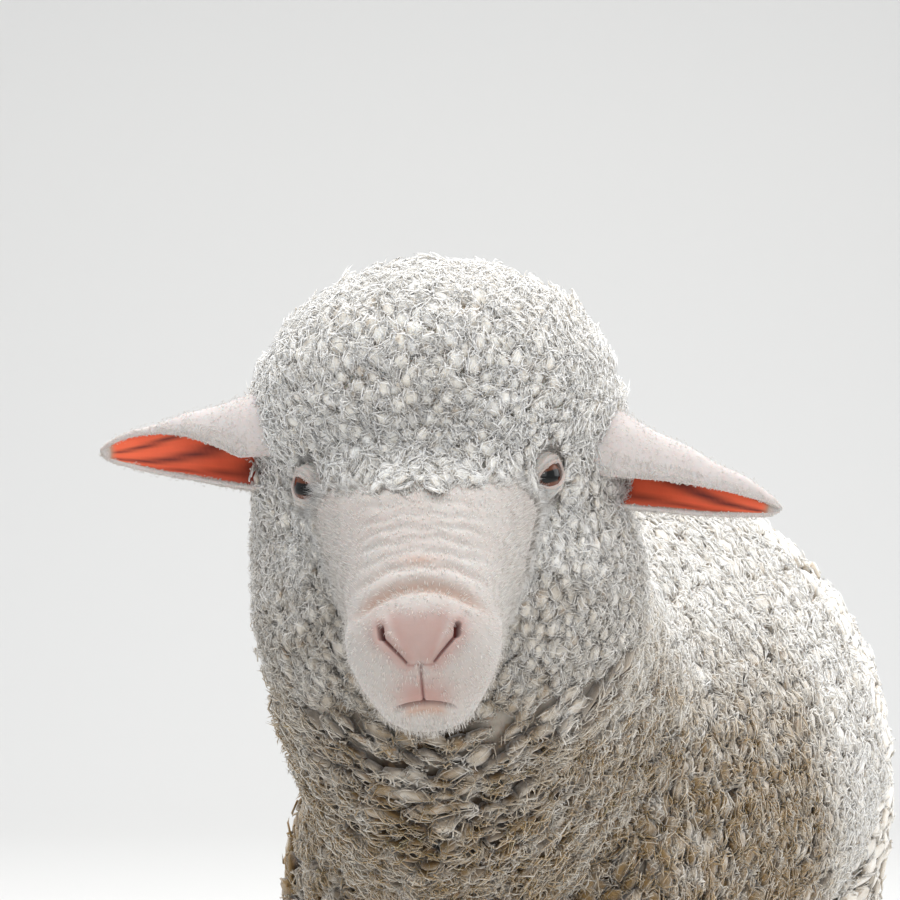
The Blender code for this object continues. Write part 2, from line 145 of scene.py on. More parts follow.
HEAD_REACH = 0.2  # nothing farther from the eyes' midpoint than this belongs to the head
HEAD_FLOOR = 0.42  # nor anything lower than this
MOSTLY_BARE = 0.06  # share of fleece below which the face has only short hair
HAIRLESS = 0.60  # how pink the skin is where no hair grows
SPINE_X = -0.034
SHOULDER_Y = 0.08  # parts the fore flank from the hind one
CORONET = 0.037  # where the hair ends above the hooves

# Each ear: side, height of its root, droop, sweep and how its opening turns from root to tip.
EARS = ((1, 0.005, 19.0, 3.0, (-20, 20)), (-1, 0.023, 0.0, 18.0, (-16, 80)))
EAR_LENGTH = 0.090  # outside the fleece
EAR_ROOT = 0.022
EAR_HALF_HEIGHT = 0.0228
EAR_THICKNESS = 0.0034
EAR_RIDGES = ((0.0010, 0.42), (0.0008, 0.62))  # height of each ridge in the trough, and its place
EAR_OUT, EAR_BACK = 0.090, 0.040  # from the eyes' midpoint to the root

# The camera: turned about the upright, so far from the head, aimed a little right and up of it.
VIEW_TURN = math.radians(23)
VIEW_DISTANCE = 1.13
VIEW_SENSOR = 36.0  # millimetres across
VIEW_LENS = 92.0  # millimetres
VIEW_RIGHT = 0.01105
VIEW_UP = 0.01523

# ------------------------------------------------------------------ small tools


def ease(low, high, x):
    """0 below low, 1 above high, and smooth between."""
    t = np.clip((x - low) / (high - low), 0.0, 1.0)
    return t * t * (3 - 2 * t)


def span(q, centre=(0, 0, 0)):
    """How far each point lies from a centre."""
    return np.linalg.norm(q - centre, axis=1)


def unit(vectors):
    return vectors / np.maximum(np.linalg.norm(vectors, axis=-1, keepdims=True), 1e-12)


def vertices_of(mesh):
    flat = np.empty(len(mesh.vertices) * 3, np.float32)
    mesh.vertices.foreach_get("co", flat)
    return flat.reshape(-1, 3).astype(float)


def put_vertices(mesh, points):
    mesh.vertices.foreach_set("co", points.astype(np.float32).ravel())
    mesh.update()


def normals_of(mesh):
    flat = np.empty(len(mesh.vertices) * 3, np.float32)
    mesh.vertex_normals.foreach_get("vector", flat)
    return flat.reshape(-1, 3).astype(float)


def edges_of(mesh):
    flat = np.empty(len(mesh.edges) * 2, np.int32)
    mesh.edges.foreach_get("vertices", flat)
    return flat.reshape(-1, 2)


def neighbour_mean(values, edges):
    """The mean of each point's neighbours along the edges."""
    total = np.zeros_like(values)
    np.add.at(total, edges[:, 0], values[edges[:, 1]])
    np.add.at(total, edges[:, 1], values[edges[:, 0]])
    links = np.bincount(edges.ravel(), minlength=len(values))
    return total / np.maximum(links, 1)[:, None]


def relaxed(points, edges, rounds, share=None, keep_volume=True):
    """Smooths points over the edges between them; with keep_volume, each second pass swells back."""
    share = 1.0 if share is None else share[:, None]
    for step in range(rounds):
        strength = -0.53 if keep_volume and step % 2 else 0.5
        points = points + share * strength * (neighbour_mean(points, edges) - points)
    return points


def attribute(mesh, name, values, kind="FLOAT", domain="POINT"):
    """Stores values on the mesh, for materials and the growth tree to read."""
    layer = mesh.attributes.get(name) or mesh.attributes.new(name, kind, domain)
    field = {"FLOAT": "value", "INT": "value", "FLOAT_VECTOR": "vector", "FLOAT2": "vector"}[kind]
    dtype = np.int32 if kind == "INT" else np.float32
    layer.data.foreach_set(field, np.ascontiguousarray(values, dtype).ravel())


def smooth_curve(stations, steps):
    """Stations resampled on a smooth curve that passes through each of them."""
    rows = np.array([stations[0], *stations, stations[-1]], float)
    fine = []
    for p, q, r, s in zip(rows, rows[1:], rows[2:], rows[3:]):
        for k in range(steps):
            t = k / steps
            bend = (2 * p - 5 * q + 4 * r - s) * t * t + (3 * q - p - 3 * r + s) * t * t * t
            fine.append(0.5 * (2 * q + (r - p) * t + bend))
    fine.append(rows[-1])
    return np.array(fine)


def new_object(name, mesh):
    made = bpy.data.objects.new(name, mesh)
    bpy.context.scene.collection.objects.link(made)
    return made


def mesh_from(name, points, faces):
    mesh = bpy.data.meshes.new(name)
    mesh.from_pydata([tuple(p) for p in points], [], faces)
    mesh.update()
    return mesh


def smooth(mesh):
    """Shades every face smoothly."""
    for polygon in mesh.polygons:
        polygon.use_smooth = True


@contextmanager
def opened(mesh):
    """A bmesh of the mesh, written back at the end."""
    shape = bmesh.new()
    shape.from_mesh(mesh)
    yield shape
    shape.to_mesh(mesh)
    shape.free()
    mesh.update()


def copies_of(nodes, name, change):
    """One mesh of copies of the solids, each welded and then changed."""
    together = bmesh.new()
    scratch = bpy.data.meshes.new(name)
    for node in nodes:
        piece = bmesh.new()
        piece.from_mesh(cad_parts[node].data)
        bmesh.ops.remove_doubles(piece, verts=piece.verts, dist=1e-5)
        change(piece)
        piece.to_mesh(scratch)
        piece.free()
        together.from_mesh(scratch)
    together.to_mesh(scratch)
    together.free()
    return scratch


def applied(item):
    """The item's mesh as its modifiers leave it; the modifiers are removed."""
    bpy.context.view_layer.update()
    seen = item.evaluated_get(bpy.context.evaluated_depsgraph_get())
    mesh = bpy.data.meshes.new_from_object(seen)
    item.modifiers.clear()
    item.data = mesh
    return item


# ------------------------------------------------------------------ forms of the head, as fields


FACE_CURVE = smooth_curve(FACE, 10)


def along_nose(q):
    """Distance along the nose line, sideways and up from it, for points in the head's axes."""
    from_brow = q - BROW
    return from_brow @ NOSE_AHEAD, q[:, 0], from_brow @ NOSE_ABOVE


def face_section(q):
    """Each point's place along, across and up from the nose line, the face's middle there, and the
    point's fullness: 1 on the smooth bare face, less inside it and more outside."""
    t, across, up = along_nose(q)
    rise, drop, half = (np.interp(t, FACE_CURVE[:, 0], FACE_CURVE[:, k]) for k in (1, 2, 3))
    mid, high = (rise - drop) / 2, (rise + drop) / 2
    full = (np.abs(across) / half) ** FACE_FULLNESS + (np.abs(up - mid) / high) ** FACE_FULLNESS
    return t, across, up, mid, full


def onto_face(q):
    """The points moved straight out from the nose line onto the smooth bare face."""
    t, across, up, mid, full = face_section(q)
    grow = np.maximum(full, 1e-9) ** (-1 / FACE_FULLNESS)
    made = BROW + t[:, None] * NOSE_AHEAD + (mid + (up - mid) * grow)[:, None] * NOSE_ABOVE
    made[:, 0] = across * grow
    return made


def fleece_on_head(q):
    """1 where the head is woolly, 0 on the bare face, with a soft edge."""
    nearest = np.full(len(q), 9.0)
    for centre, radii in HEAD_FLEECE:
        nearest = np.minimum(nearest, np.linalg.norm((q - centre) / np.array(radii), axis=1))
    wool = 1 - ease(1.00, 1.20, nearest)
    t, across, up, _, full = face_section(q)
    wool = np.maximum(wool, ease(1.10, 1.22, full ** (1 / FACE_FULLNESS)))
    # A ragged hairline arches over the brow.
    ragged = 0.0022 * np.sin(across * 410 + 1.3) + 0.0016 * np.sin(across * 910 + 4.1)
    arch = 0.030 - 0.024 * (across / 0.050) ** 2
    hairline = (1 - ease(-0.008, 0.012, t - arch + ragged)) * (1 - ease(0.046, 0.056, np.abs(across)))
    wool = np.maximum(wool, hairline * (span(q) < HEAD_REACH))
    for side in (1, -1):
        away = span(q, (side * EYE_OUT, 0, 0))
        wool = np.minimum(wool, ease(EYE_RADIUS + 0.001, EYE_RADIUS + 0.009, away))
    # Wool comes forward under the jaw.
    jaw = (1 - ease(-0.062, -0.050, up)) * (1 - ease(0.085, 0.110, t)) * ease(-0.02, 0.02, t)
    wool = np.maximum(wool, 0.8 * jaw)
    return np.maximum(wool, ease(0.0, 0.04, q[:, 1]))


def fleece_share(p):
    """How woolly each point of the body is: 0 short hair, 1 full fleece."""
    q = to_head(p)
    near_head = (span(q, (0, 0.02, -0.02)) < HEAD_REACH) & (p[:, 2] > HEAD_FLOOR)
    forelegs, hindlegs = ease(0.165, 0.215, p[:, 2]), ease(0.185, 0.235, p[:, 2])
    return np.where(near_head, fleece_on_head(q), np.where(p[:, 1] < 0.05, forelegs, hindlegs))


def looking(side, out, rise, slant):
    """The gaze of an eye turned sideways by `out`, and the directions along its lids and up them."""
    gaze = unit(np.array((side * math.sin(out), -math.cos(out), rise)))
    level = unit(np.array((side * math.cos(out), math.sin(out), 0.0)))
    up = np.cross(level, gaze)
    up = unit(up * (1 if up[2] > 0 else -1))
    long = level * math.cos(slant) + up * math.sin(slant)
    high = up * math.cos(slant) - level * math.sin(slant)
    return gaze, long, high


def eye_frame(side):
    """Centre, gaze, along the lids (to the outer corner) and up, in the head's axes."""
    return (np.array((side * EYE_OUT, 0, 0)), *looking(side, GAZE_OUT, 0.02, EYE_SLANT))


def lids_gap(q, side):
    """Degrees outside (+) or inside (-) the lids' opening, and the distance from the eye's centre."""
    centre, gaze, long, high = eye_frame(side)
    from_eye = q - centre
    away = np.linalg.norm(from_eye, axis=1)
    ahead, a, b = from_eye @ gaze, from_eye @ long, from_eye @ high
    off = np.arctan2(np.hypot(a, b), ahead)
    return np.degrees(off - lids_edge(np.arctan2(b, a))), away


def lids_edge(angle):
    """The opening's half-angle in each direction: an almond."""
    c, s = np.abs(np.cos(angle)), np.abs(np.sin(angle))
    return 1 / ((c / LIDS_LONG) ** ALMOND + (s / LIDS_HIGH) ** ALMOND) ** (1 / ALMOND)


# ------------------------------------------------------------------ the skin


def swollen(piece):
    """Moves a piece's faces out, over the thin cuts between pieces."""
    piece.normal_update()
    for vertex in piece.verts:
        vertex.co += vertex.normal * OVERLAP


def fused_flesh():
    """One closed mesh round copies of the body's pieces, their cuts and eye sockets closed."""
    item = new_object("skin", copies_of(BODY_NODES + ("eye_left", "eye_right") + CLAWS, "scratch", swollen))
    remesh = item.modifiers.new("fuse", "REMESH")
    remesh.mode = "VOXEL"
    remesh.voxel_size = SKIN_GRAIN
    return applied(item)


def keep_largest(mesh):
    """Drops every connected piece but the one with the most points."""
    with opened(mesh) as shape:
        seen, best = set(), []
        for start in shape.verts:
            if start in seen:
                continue
            group, stack = [], [start]
            seen.add(start)
            while stack:
                vertex = stack.pop()
                group.append(vertex)
                for edge in vertex.link_edges:
                    other = edge.other_vert(vertex)
                    if other not in seen:
                        seen.add(other)
                        stack.append(other)
            if len(group) > len(best):
                best = group
        keep = set(best)
        bmesh.ops.delete(shape, geom=[v for v in shape.verts if v not in keep], context="VERTS")


def refine(mesh, wanted):
    """Splits every edge whose both ends are wanted (a function of points in the head's axes)."""
    share = wanted(to_head(vertices_of(mesh)))
    with opened(mesh) as shape:
        chosen = [e for e in shape.edges if share[e.verts[0].index] and share[e.verts[1].index]]
        bmesh.ops.subdivide_edges(shape, edges=chosen, cuts=1, use_grid_fill=True)


def round_face(mesh, rounds):
    """Relaxes the head's front and draws the bare face onto its smooth form."""
    points = vertices_of(mesh)
    q = to_head(points)
    front = (q[:, 1] < 0.03) & (span(q) < HEAD_REACH)
    points = relaxed(points, edges_of(mesh), rounds, front.astype(float))
    q = to_head(points)
    t = along_nose(q)[0]
    bare = (1 - fleece_on_head(q)) * ease(-0.030, 0.000, t) * (1 - ease(0.116, 0.128, t))
    bare *= front
    q = q + bare[:, None] * (onto_face(q) - q)
    put_vertices(mesh, from_head(q))


def bulge(x, centre, width):
    return np.exp(-(((x - centre) / width) ** 2))


# Wrinkles over the nose: level, depth, width and how far each arches down at its ends.
WRINKLES = (
    (-0.0085, 0.0005, 0.0016, 2.0),
    (-0.0140, 0.0007, 0.0016, 3.0),
    (-0.0195, 0.0008, 0.0016, 3.6),
    (-0.0250, 0.0009, 0.0017, 4.2),
    (-0.0305, 0.0009, 0.0018, 4.8),
    (-0.0372, 0.0012, 0.0020, 6.0),
    (-0.0455, 0.0024, 0.0024, 8.0),
)
LOW_WRINKLE = -0.034  # from this level down they run right across, with tan skin in them
# One nostril, out from the middle and up: an upright opening, then a slit down and inwards.
NOSTRIL_TOP = np.array((0.0174, -0.0632))
NOSTRIL_BEND = np.array((0.0172, -0.0672))
NOSTRIL_END = np.array((0.0068, -0.0788))


def from_line(a, b, x, z):
    """How far along the line from a to b each point lies, from 0 to 1, and how far off it."""
    run = b - a
    share = np.clip(((x - a[0]) * run[0] + (z - a[1]) * run[1]) / (run @ run), 0, 1)
    return share, np.hypot(x - a[0] - share * run[0], z - a[1] - share * run[1])


def face_relief(q):
    """Height to add to the bare face, how pink and tan each point is, and how much painted shade it holds in the
    nostrils, creases and mouth line.
    """
    x, y, z = q.T
    ax = np.abs(x)
    ahead = 1 - ease(-0.050, -0.030, y)
    height = np.zeros(len(q))
    pink, dark, tan = np.zeros(len(q)), np.zeros(len(q)), np.zeros(len(q))

    # Arched wrinkles over the nose: shallow above, one deep fold over the nose pad.
    across = 1 - ease(0.020, 0.036, ax)
    for k, (level, depth, width, arch) in enumerate(WRINKLES):
        low, deepest = level < LOW_WRINKLE, k == len(WRINKLES) - 1
        wander = 0.0007 * np.sin(x * 190 + 2.1 * k) + 0.0005 * np.sin(x * 430 + 5.3 * k)
        line = level - arch * 0.001 * (ax / 0.024) ** 2 + wander * (not deepest)
        off = z - line
        fade = ahead * across * (1 - 0.45 * bulge(x, 0.0, 0.007) * (not low))
        height -= depth * fade * bulge(off, 0.0, width)
        height += 0.75 * depth * fade * bulge(off, 2.1 * width, 1.8 * width)
        if low:
            spread, strength = (1.1, 1.0) if deepest else (0.6, 0.35)
            tan = np.maximum(tan, 0.50 * fade * bulge(off, 0.0003, width * spread) * strength)
    tan = np.maximum(tan, 0.45 * bulge(x, 0.0, 0.009) * bulge(z, -0.0345, 0.0022) * ahead)

    # The nose pad, between the nostrils.
    front = 1 - ease(-0.090, -0.080, y)
    half = np.interp(z, (-0.080, -0.060), (0.0065, 0.0165))
    pad = ease(-0.084, -0.076, z) * (1 - ease(-0.062, -0.050, z)) * (1 - ease(0.6, 1.15, ax / half))
    pad *= 1 - ease(-0.092, -0.085, y)
    pink = np.maximum(pink, 0.80 * pad * (0.84 + 0.16 * ease(0.2, 0.9, ax / half)))
    height += 0.0006 * pad

    # The nostrils, their openings painted a deep red-brown: painted shade inside them.
    share, off = from_line(NOSTRIL_TOP, NOSTRIL_BEND, ax, z)
    hole = (1 - ease(0.4, 1.3, off / 0.0015)) * front
    share, off_slit = from_line(NOSTRIL_BEND, NOSTRIL_END, ax, z)
    slit = (1 - ease(0.4, 1.4, off_slit / np.interp(share, (0, 1), (0.0009, 0.0006)))) * front
    height -= np.maximum(0.0060 * hole, slit * np.interp(share, (0, 1), (0.0030, 0.0012)))
    dark = np.maximum(dark, np.maximum(hole, slit * np.interp(share, (0, 1), (0.80, 0.60))))
    off = np.minimum(off, off_slit)
    height += 0.0009 * bulge(off, 0.0033, 0.0024) * front
    pink = np.maximum(pink, 0.70 * bulge(off, 0.0, 0.0058) * front)

    # The groove below the nose, the lips and the chin; painted shade in the groove, along a crease below the
    # nose pad and along the mouth line.
    groove = bulge(x, 0.0, 0.0008) * ease(-0.1005, -0.0985, z) * (1 - ease(-0.082, -0.078, z)) * ahead
    height -= 0.0016 * groove
    dark = np.maximum(dark, np.interp(z, (-0.100, -0.090), (0.80, 0.50)) * groove)
    crease = bulge(z, -0.0800, 0.0006) * (1 - ease(0.005, 0.008, ax)) * front
    dark = np.maximum(dark, 0.40 * crease)
    smile = -0.0988 - 0.0028 * (ax / 0.018) ** 2
    corner = 1 - ease(0.013, 0.0215, ax)
    mouth = bulge(z - smile, 0.0, 0.0010) * corner * (1 - ease(-0.078, -0.070, y))
    height -= 0.0034 * mouth
    dark = np.maximum(dark, (0.48 + 0.35 * bulge(x, 0.0, 0.003)) * mouth)
    lips = bulge(z - smile, 0.002, 0.0110) * (1 - ease(0.004, 0.025, ax)) * (1 - ease(-0.078, -0.070, y))
    pink = np.maximum(pink, 0.95 * lips * (z > smile))
    height += 0.0009 * bulge(z - smile, 0.0045, 0.004) * (1 - ease(0.012, 0.022, ax)) * (y < -0.075)
    lower = bulge(z - smile, -0.0030, 0.0028) * (1 - ease(0.008, 0.0165, ax)) * (y < -0.07)
    tan = np.maximum(tan, 0.62 * lower)
    height += 0.0006 * lower
    return height, pink, dark, tan


def taper_muzzle(q):
    """Draws the sides of the muzzle in towards the chin."""
    narrow = np.interp(q[:, 2], (-0.114, -0.101, -0.090, -0.079, -0.066), (0.70, 0.72, 0.83, 0.93, 1.0))
    ahead = 1 - ease(-0.048, -0.010, q[:, 1])
    tapered = q.copy()
    tapered[:, 0] *= 1 + (narrow - 1) * ahead
    return tapered


def cover_eyes(q):
    """The skin swells over each eyeball, and sinks out of sight behind the lids' opening."""
    for side in (1, -1):
        centre = np.array((side * EYE_OUT, 0, 0))
        gap, away = lids_gap(q, side)
        near = away < EYE_RADIUS + 0.020
        shell = EYE_RADIUS + 0.0006
        # Smooth maximum of the face and the shell over the ball.
        blend = EYE_BLEND
        mix = np.clip(0.5 + 0.5 * (away - shell) / blend, 0, 1)
        out = shell + (away - shell) * mix + blend * mix * (1 - mix)
        inside = 1 - ease(6.0, 10.0, gap)
        target = out * (1 - inside) + (EYE_RADIUS - 0.003) * inside
        ahead = (q - centre) @ eye_frame(side)[1] > -0.004
        target = np.where(near & ahead, target, away)
        q = centre + unit(q - centre) * target[:, None]
    return q


def fleece_depth(p, share):
    """How deep the fleece is at each point."""
    q = to_head(p)
    on_cap = ease(-0.02, 0.03, q[:, 2])
    head_depth = CHEEK_DEPTH + (CAP_DEPTH - CHEEK_DEPTH) * on_cap
    head_far = ease(0.13, 0.19, span(q, (0, 0.04, 0)))
    body = NECK_DEPTH + (BODY_DEPTH - NECK_DEPTH) * ease(-0.25, -0.10, p[:, 1])
    body = np.minimum(body, SHANK_DEPTH + (BODY_DEPTH - SHANK_DEPTH) * ease(0.24, 0.34, p[:, 2]))
    deep = head_depth + (body - head_depth) * head_far
    return HAIR_DEPTH + share * (deep - HAIR_DEPTH)


def lie_of_coat(p, normal):
    """Which way the coat leans: back and down the body, away from the face on the head."""
    q = to_head(p)
    lie = np.tile((0.0, 0.35, -1.0), (len(p), 1))
    x, t = q[:, 0], along_nose(q)[0]
    crown = unit(q - (0.0, 0.060, 0.075))
    out = np.sign(x) * (0.3 + 8 * np.abs(x))
    cheek = unit(np.stack([out, np.full(len(x), 0.6), np.full(len(x), -0.25)], 1))
    nose = unit(np.stack([x * 14, np.full(len(x), 0.6), 0.35 - 1.2 * ease(0.08, 0.12, t)], 1))
    high = ease(-0.005, 0.025, q[:, 2])
    on_head = cheek + (crown - cheek) * high[:, None]
    bare = 1 - fleece_on_head(q)
    on_head = on_head + (nose - on_head) * bare[:, None]
    near = 1 - ease(0.12, 0.17, span(q))
    lie = lie + (on_head @ HEAD_AXES - lie) * near[:, None]
    lie -= np.sum(lie * normal, axis=1, keepdims=True) * normal
    return unit(lie)


ZONE_NAMES = (
    "face", "fringe", "cap_front", "cap_back", "cheek_left", "cheek_right", "neck_left", "neck_right", "chest",
    "flank_left_fore", "flank_left_hind", "flank_right", "rear", "legs", "shanks", "ears", "ear_rims", "lashes",
    "none",
)
ZONES = {name: number for number, name in enumerate(ZONE_NAMES)}


def zones(p, share):
    """Which part of the coat grows at each point."""
    q = to_head(p)
    made = np.full(len(p), ZONES["flank_right"])

    def choose(where, name):
        made[where] = ZONES[name]

    left, y, z = p[:, 0] > SPINE_X, p[:, 1], p[:, 2]
    choose(left & (y < SHOULDER_Y), "flank_left_fore")
    choose(left & (y >= SHOULDER_Y), "flank_left_hind")
    choose(y > 0.30, "rear")
    choose((y < -0.15) & (z <= 0.455), "chest")
    choose(z < 0.29, "legs")
    neck = (y < -0.10) & (z > 0.455)
    on_left = q[:, 0] > 0.0
    choose(neck & on_left, "neck_left")
    choose(neck & ~on_left, "neck_right")
    head = (span(q, (0, 0.045, 0.02)) < 0.148) | (q[:, 1] < -0.005)
    head &= (q[:, 2] > -0.16) & (q[:, 1] < 0.13) & (z > HEAD_FLOOR)
    high = q[:, 2] > -0.004
    choose(head & high & (q[:, 1] < 0.045), "cap_front")
    choose(head & high & (q[:, 1] >= 0.045), "cap_back")
    choose(head & ~high & on_left, "cheek_left")
    choose(head & ~high & ~on_left, "cheek_right")
    on_face = (span(q) < HEAD_REACH) & (z > HEAD_FLOOR)
    bare = on_face & (share < MOSTLY_BARE)
    choose(on_face & (share < 0.45), "fringe")
    choose(bare, "face")
    choose(bare & (face_relief(q)[1] > HAIRLESS), "none")
    choose(~on_face & (share < 0.30), "shanks")
    choose(z < CORONET, "none")
    return made


def tones(p):
    """How deep the fleece's colour is, from 0 (clean white) to 1 (brown-grey), on skin and coat alike: partly
    dirt, partly painted shade under the head and down the neck.
    """
    q = to_head(p)
    near = 1 - ease(0.125, 0.165, span(q, (0, 0.05, 0.01)))
    # Darker under the head and darker still under the jaw: partly dirt, partly painted shade beneath the head.
    under = 1 - ease(-0.075, -0.010, q[:, 2])
    deep_under = 1 - ease(-0.130, -0.080, q[:, 2])
    # Darker at the temples, and below the eyes a little darker on the head's right side.
    temple = bulge(q[:, 2], -0.010, 0.022) * ease(0.060, 0.078, np.abs(q[:, 0]))
    on_head = 0.08 + 0.34 * under + 0.40 * deep_under + 0.22 * temple + 0.08 * (q[:, 0] < 0) * under
    # The flanks are paler high up and towards the rear; the neck darkens downwards, partly dirt and partly
    # painted shade under the head.
    pale_back = ease(0.42, 0.56, p[:, 2])
    flank = 0.96 - 0.80 * np.maximum(pale_back, ease(0.06, 0.20, p[:, 1]))
    neck = 0.92 - 0.40 * ease(0.45, 0.56, p[:, 2])
    body = neck + (flank - neck) * ease(-0.15, -0.03, p[:, 1])
    # Darker again low on the hind body.
    body = body + 0.25 * (1 - ease(0.30, 0.40, p[:, 2])) * ease(0.0, 0.2, p[:, 1])
    return np.clip(body + (on_head - body) * near, 0, 1)


def make_ear(side, height, droop, sweep, curl):
    """A leaf-shaped ear with a thin rim: points, faces, how far inside the trough each point is, how
    much of the streaks' deeper colour it has, and whether rim hair grows there."""
    rows, columns = 40, 22
    outer, inner = [], []
    for i in range(rows):
        x = -EAR_ROOT + (EAR_LENGTH + EAR_ROOT) * (i / (rows - 1)) ** 0.93
        s = min(1.0, max(0.0, x / EAR_LENGTH))
        tall = EAR_HALF_HEIGHT * max(0.0, 1 - s) ** 0.66 * (1 - 0.06 * math.sin(math.pi * s)) + 0.0007
        deep = tall * (0.80 - 0.40 * s)
        start = math.radians(curl[0] + (curl[1] - curl[0]) * s)
        stop = math.radians(290 - 25 * s)
        for k in range(columns):
            u = k / (columns - 1)
            angle = start + (stop - start) * u
            on = np.array((x, -math.cos(angle) * deep, math.sin(angle) * tall))
            out = unit(np.array((0.0, -math.cos(angle) * tall, math.sin(angle) * deep)))
            rim = min(1.0, 6 * min(u, 1 - u), 5 * (1 - i / (rows - 1)) + 0.05)
            wall = EAR_THICKNESS * (0.22 + 0.28 * math.sqrt(rim))
            ridge = sum(high * math.exp(-(((u - at) / 0.05) ** 2)) for high, at in EAR_RIDGES)
            ripple = 0.0005 * math.sin(16 * s + 5 * u) * rim
            outer.append(on + out * (wall + ripple))
            inner.append(on - out * (wall + ridge * (1 - s) - ripple))
    points = np.array(outer + inner)
    count = rows * columns
    along = np.tile(np.repeat(np.arange(rows) / (rows - 1), columns), 2)
    around = np.tile(np.tile(np.arange(columns) / (columns - 1), rows), 2)
    # Red inside, but white-haired at the rim and the tip.
    from_rim = np.minimum(np.minimum(around, 1 - around) * (0.5 + 0.5 * (1 - along) + 0.3), (1 - along) * 1.1)
    inside = np.concatenate([np.zeros(count), np.ones(count)]) * ease(0.035, 0.110, from_rim)
    # Deeper-coloured streaks run along the trough beside its ridges, and the trough's colour deepens towards the
    # root.
    streak = bulge(around, 0.25 + 0.35 * along, 0.035) + bulge(around, 0.47 + 0.38 * along, 0.045)
    streak += 0.7 * bulge(around, 0.72 + 0.25 * along, 0.03) + 0.6 * (1 - ease(0.18, 0.35, along))
    streak = np.clip(streak, 0, 1) * inside
    rim_hair = (from_rim < 0.075) & (along > 0.15)
    faces = []
    for i in range(rows - 1):
        for k in range(columns - 1):
            a = i * columns + k
            b, c, d = a + 1, a + columns + 1, a + columns
            faces.append((a, b, c, d))
            faces.append((a + count, d + count, c + count, b + count))
    rim = list(range(columns))
    rim += [i * columns + columns - 1 for i in range(1, rows)]
    rim += [(rows - 1) * columns + k for k in range(columns - 2, -1, -1)]
    rim += [i * columns for i in range(rows - 2, 0, -1)]
    for a, b in zip(rim, rim[1:] + rim[:1]):
        faces.append((b, a, a + count, b + count))
    points[:, 0] *= side
    swept = Matrix.Rotation(side * math.radians(sweep), 4, "Z")
    turn = swept @ Matrix.Rotation(side * math.radians(droop), 4, "Y")
    q = points @ np.array(turn)[:3, :3].T + np.array((side * EAR_OUT, EAR_BACK, height))
    return from_head(q), facing(faces, side), inside, streak, rim_hair


def facing(faces, side):
    """The faces turned over on the right side, whose points mirror the left side's."""
    return faces if side > 0 else [face[::-1] for face in faces]


# The rings of a lid: degrees outside the opening, and how far each stands off the ball.
LID_RINGS = (
    (-3.0, -0.0004), (-0.5, 0.0002), (0.5, 0.0006), (1.6, 0.0010), (3.2, 0.0012), (5.5, 0.0008),
    (8.0, 0.0005), (11.0, 0.0011), (15.0, 0.0017), (19.0, 0.0013), (22.0, 0.0009), (26.0, 0.0012),
    (31.0, 0.0009), (37.0, 0.0002), (43.0, -0.0012),
)


def make_lids(side):
    """The lids of one eye, as rings that follow the opening, from under the rim out into the face."""
    centre, gaze, long, high = eye_frame(side)
    around = 72
    points, flush, zone = [], [], []
    for offset, lift in LID_RINGS:
        for k in range(around):
            angle = math.tau * k / around
            upper = max(0.0, math.sin(angle))
            off = float(lids_edge(np.array(angle))) + math.radians(offset)
            direction = gaze * math.cos(off) + (long * math.cos(angle) + high * math.sin(angle)) * math.sin(off)
            stand_off = lift * (0.7 + 0.5 * upper) + 0.00025 * math.sin(5 * angle + offset)
            points.append(centre + direction * (EYE_RADIUS + stand_off))
            flush.append(math.exp(-((max(0.0, offset) / 4) ** 2)) * 0.28 + 0.05)
            lashed = 1 < offset < 5 and math.sin(angle + 0.4) > 0.3
            zone.append(ZONES["face" if offset > 5 else "lashes" if lashed else "none"])
    faces = []
    for i in range(len(LID_RINGS) - 1):
        for k in range(around):
            n = (k + 1) % around
            faces.append((i * around + k, i * around + n, (i + 1) * around + n, (i + 1) * around + k))
    return from_head(np.array(points)), facing(faces, side), np.array(flush), np.array(zone)


def join_meshes(name, parts):
    """One mesh from (points, faces, ...) groups."""
    faces, start = [], 0
    for points, own_faces in (part[:2] for part in parts):
        faces += [tuple(i + start for i in face) for face in own_faces]
        start += len(points)
    return mesh_from(name, np.concatenate([part[0] for part in parts]), faces)


def close_to_head(q):
    return span(q) < 0.19


def front_of_head(q):
    return (q[:, 1] < 0.020) & close_to_head(q)


def thinly_covered(q):
    return (fleece_on_head(q) < 0.7) & close_to_head(q)


def muzzle_and_eyes(q):
    x, y, z = np.abs(q[:, 0]), q[:, 1], q[:, 2]
    muzzle = (along_nose(q)[0] > 0.030) & (fleece_on_head(q) < 0.3) & (z - 0.4 * y > -0.095)
    muzzle &= close_to_head(q)
    return muzzle | ((np.abs(x - EYE_OUT) < 0.02) & (np.abs(z) < 0.020) & (y < 0.012))


def nose_and_lips(q):
    x, y, z = np.abs(q[:, 0]), q[:, 1], q[:, 2]
    return (x < 0.030) & (y < -0.072) & (z < -0.052) & (z > -0.107)


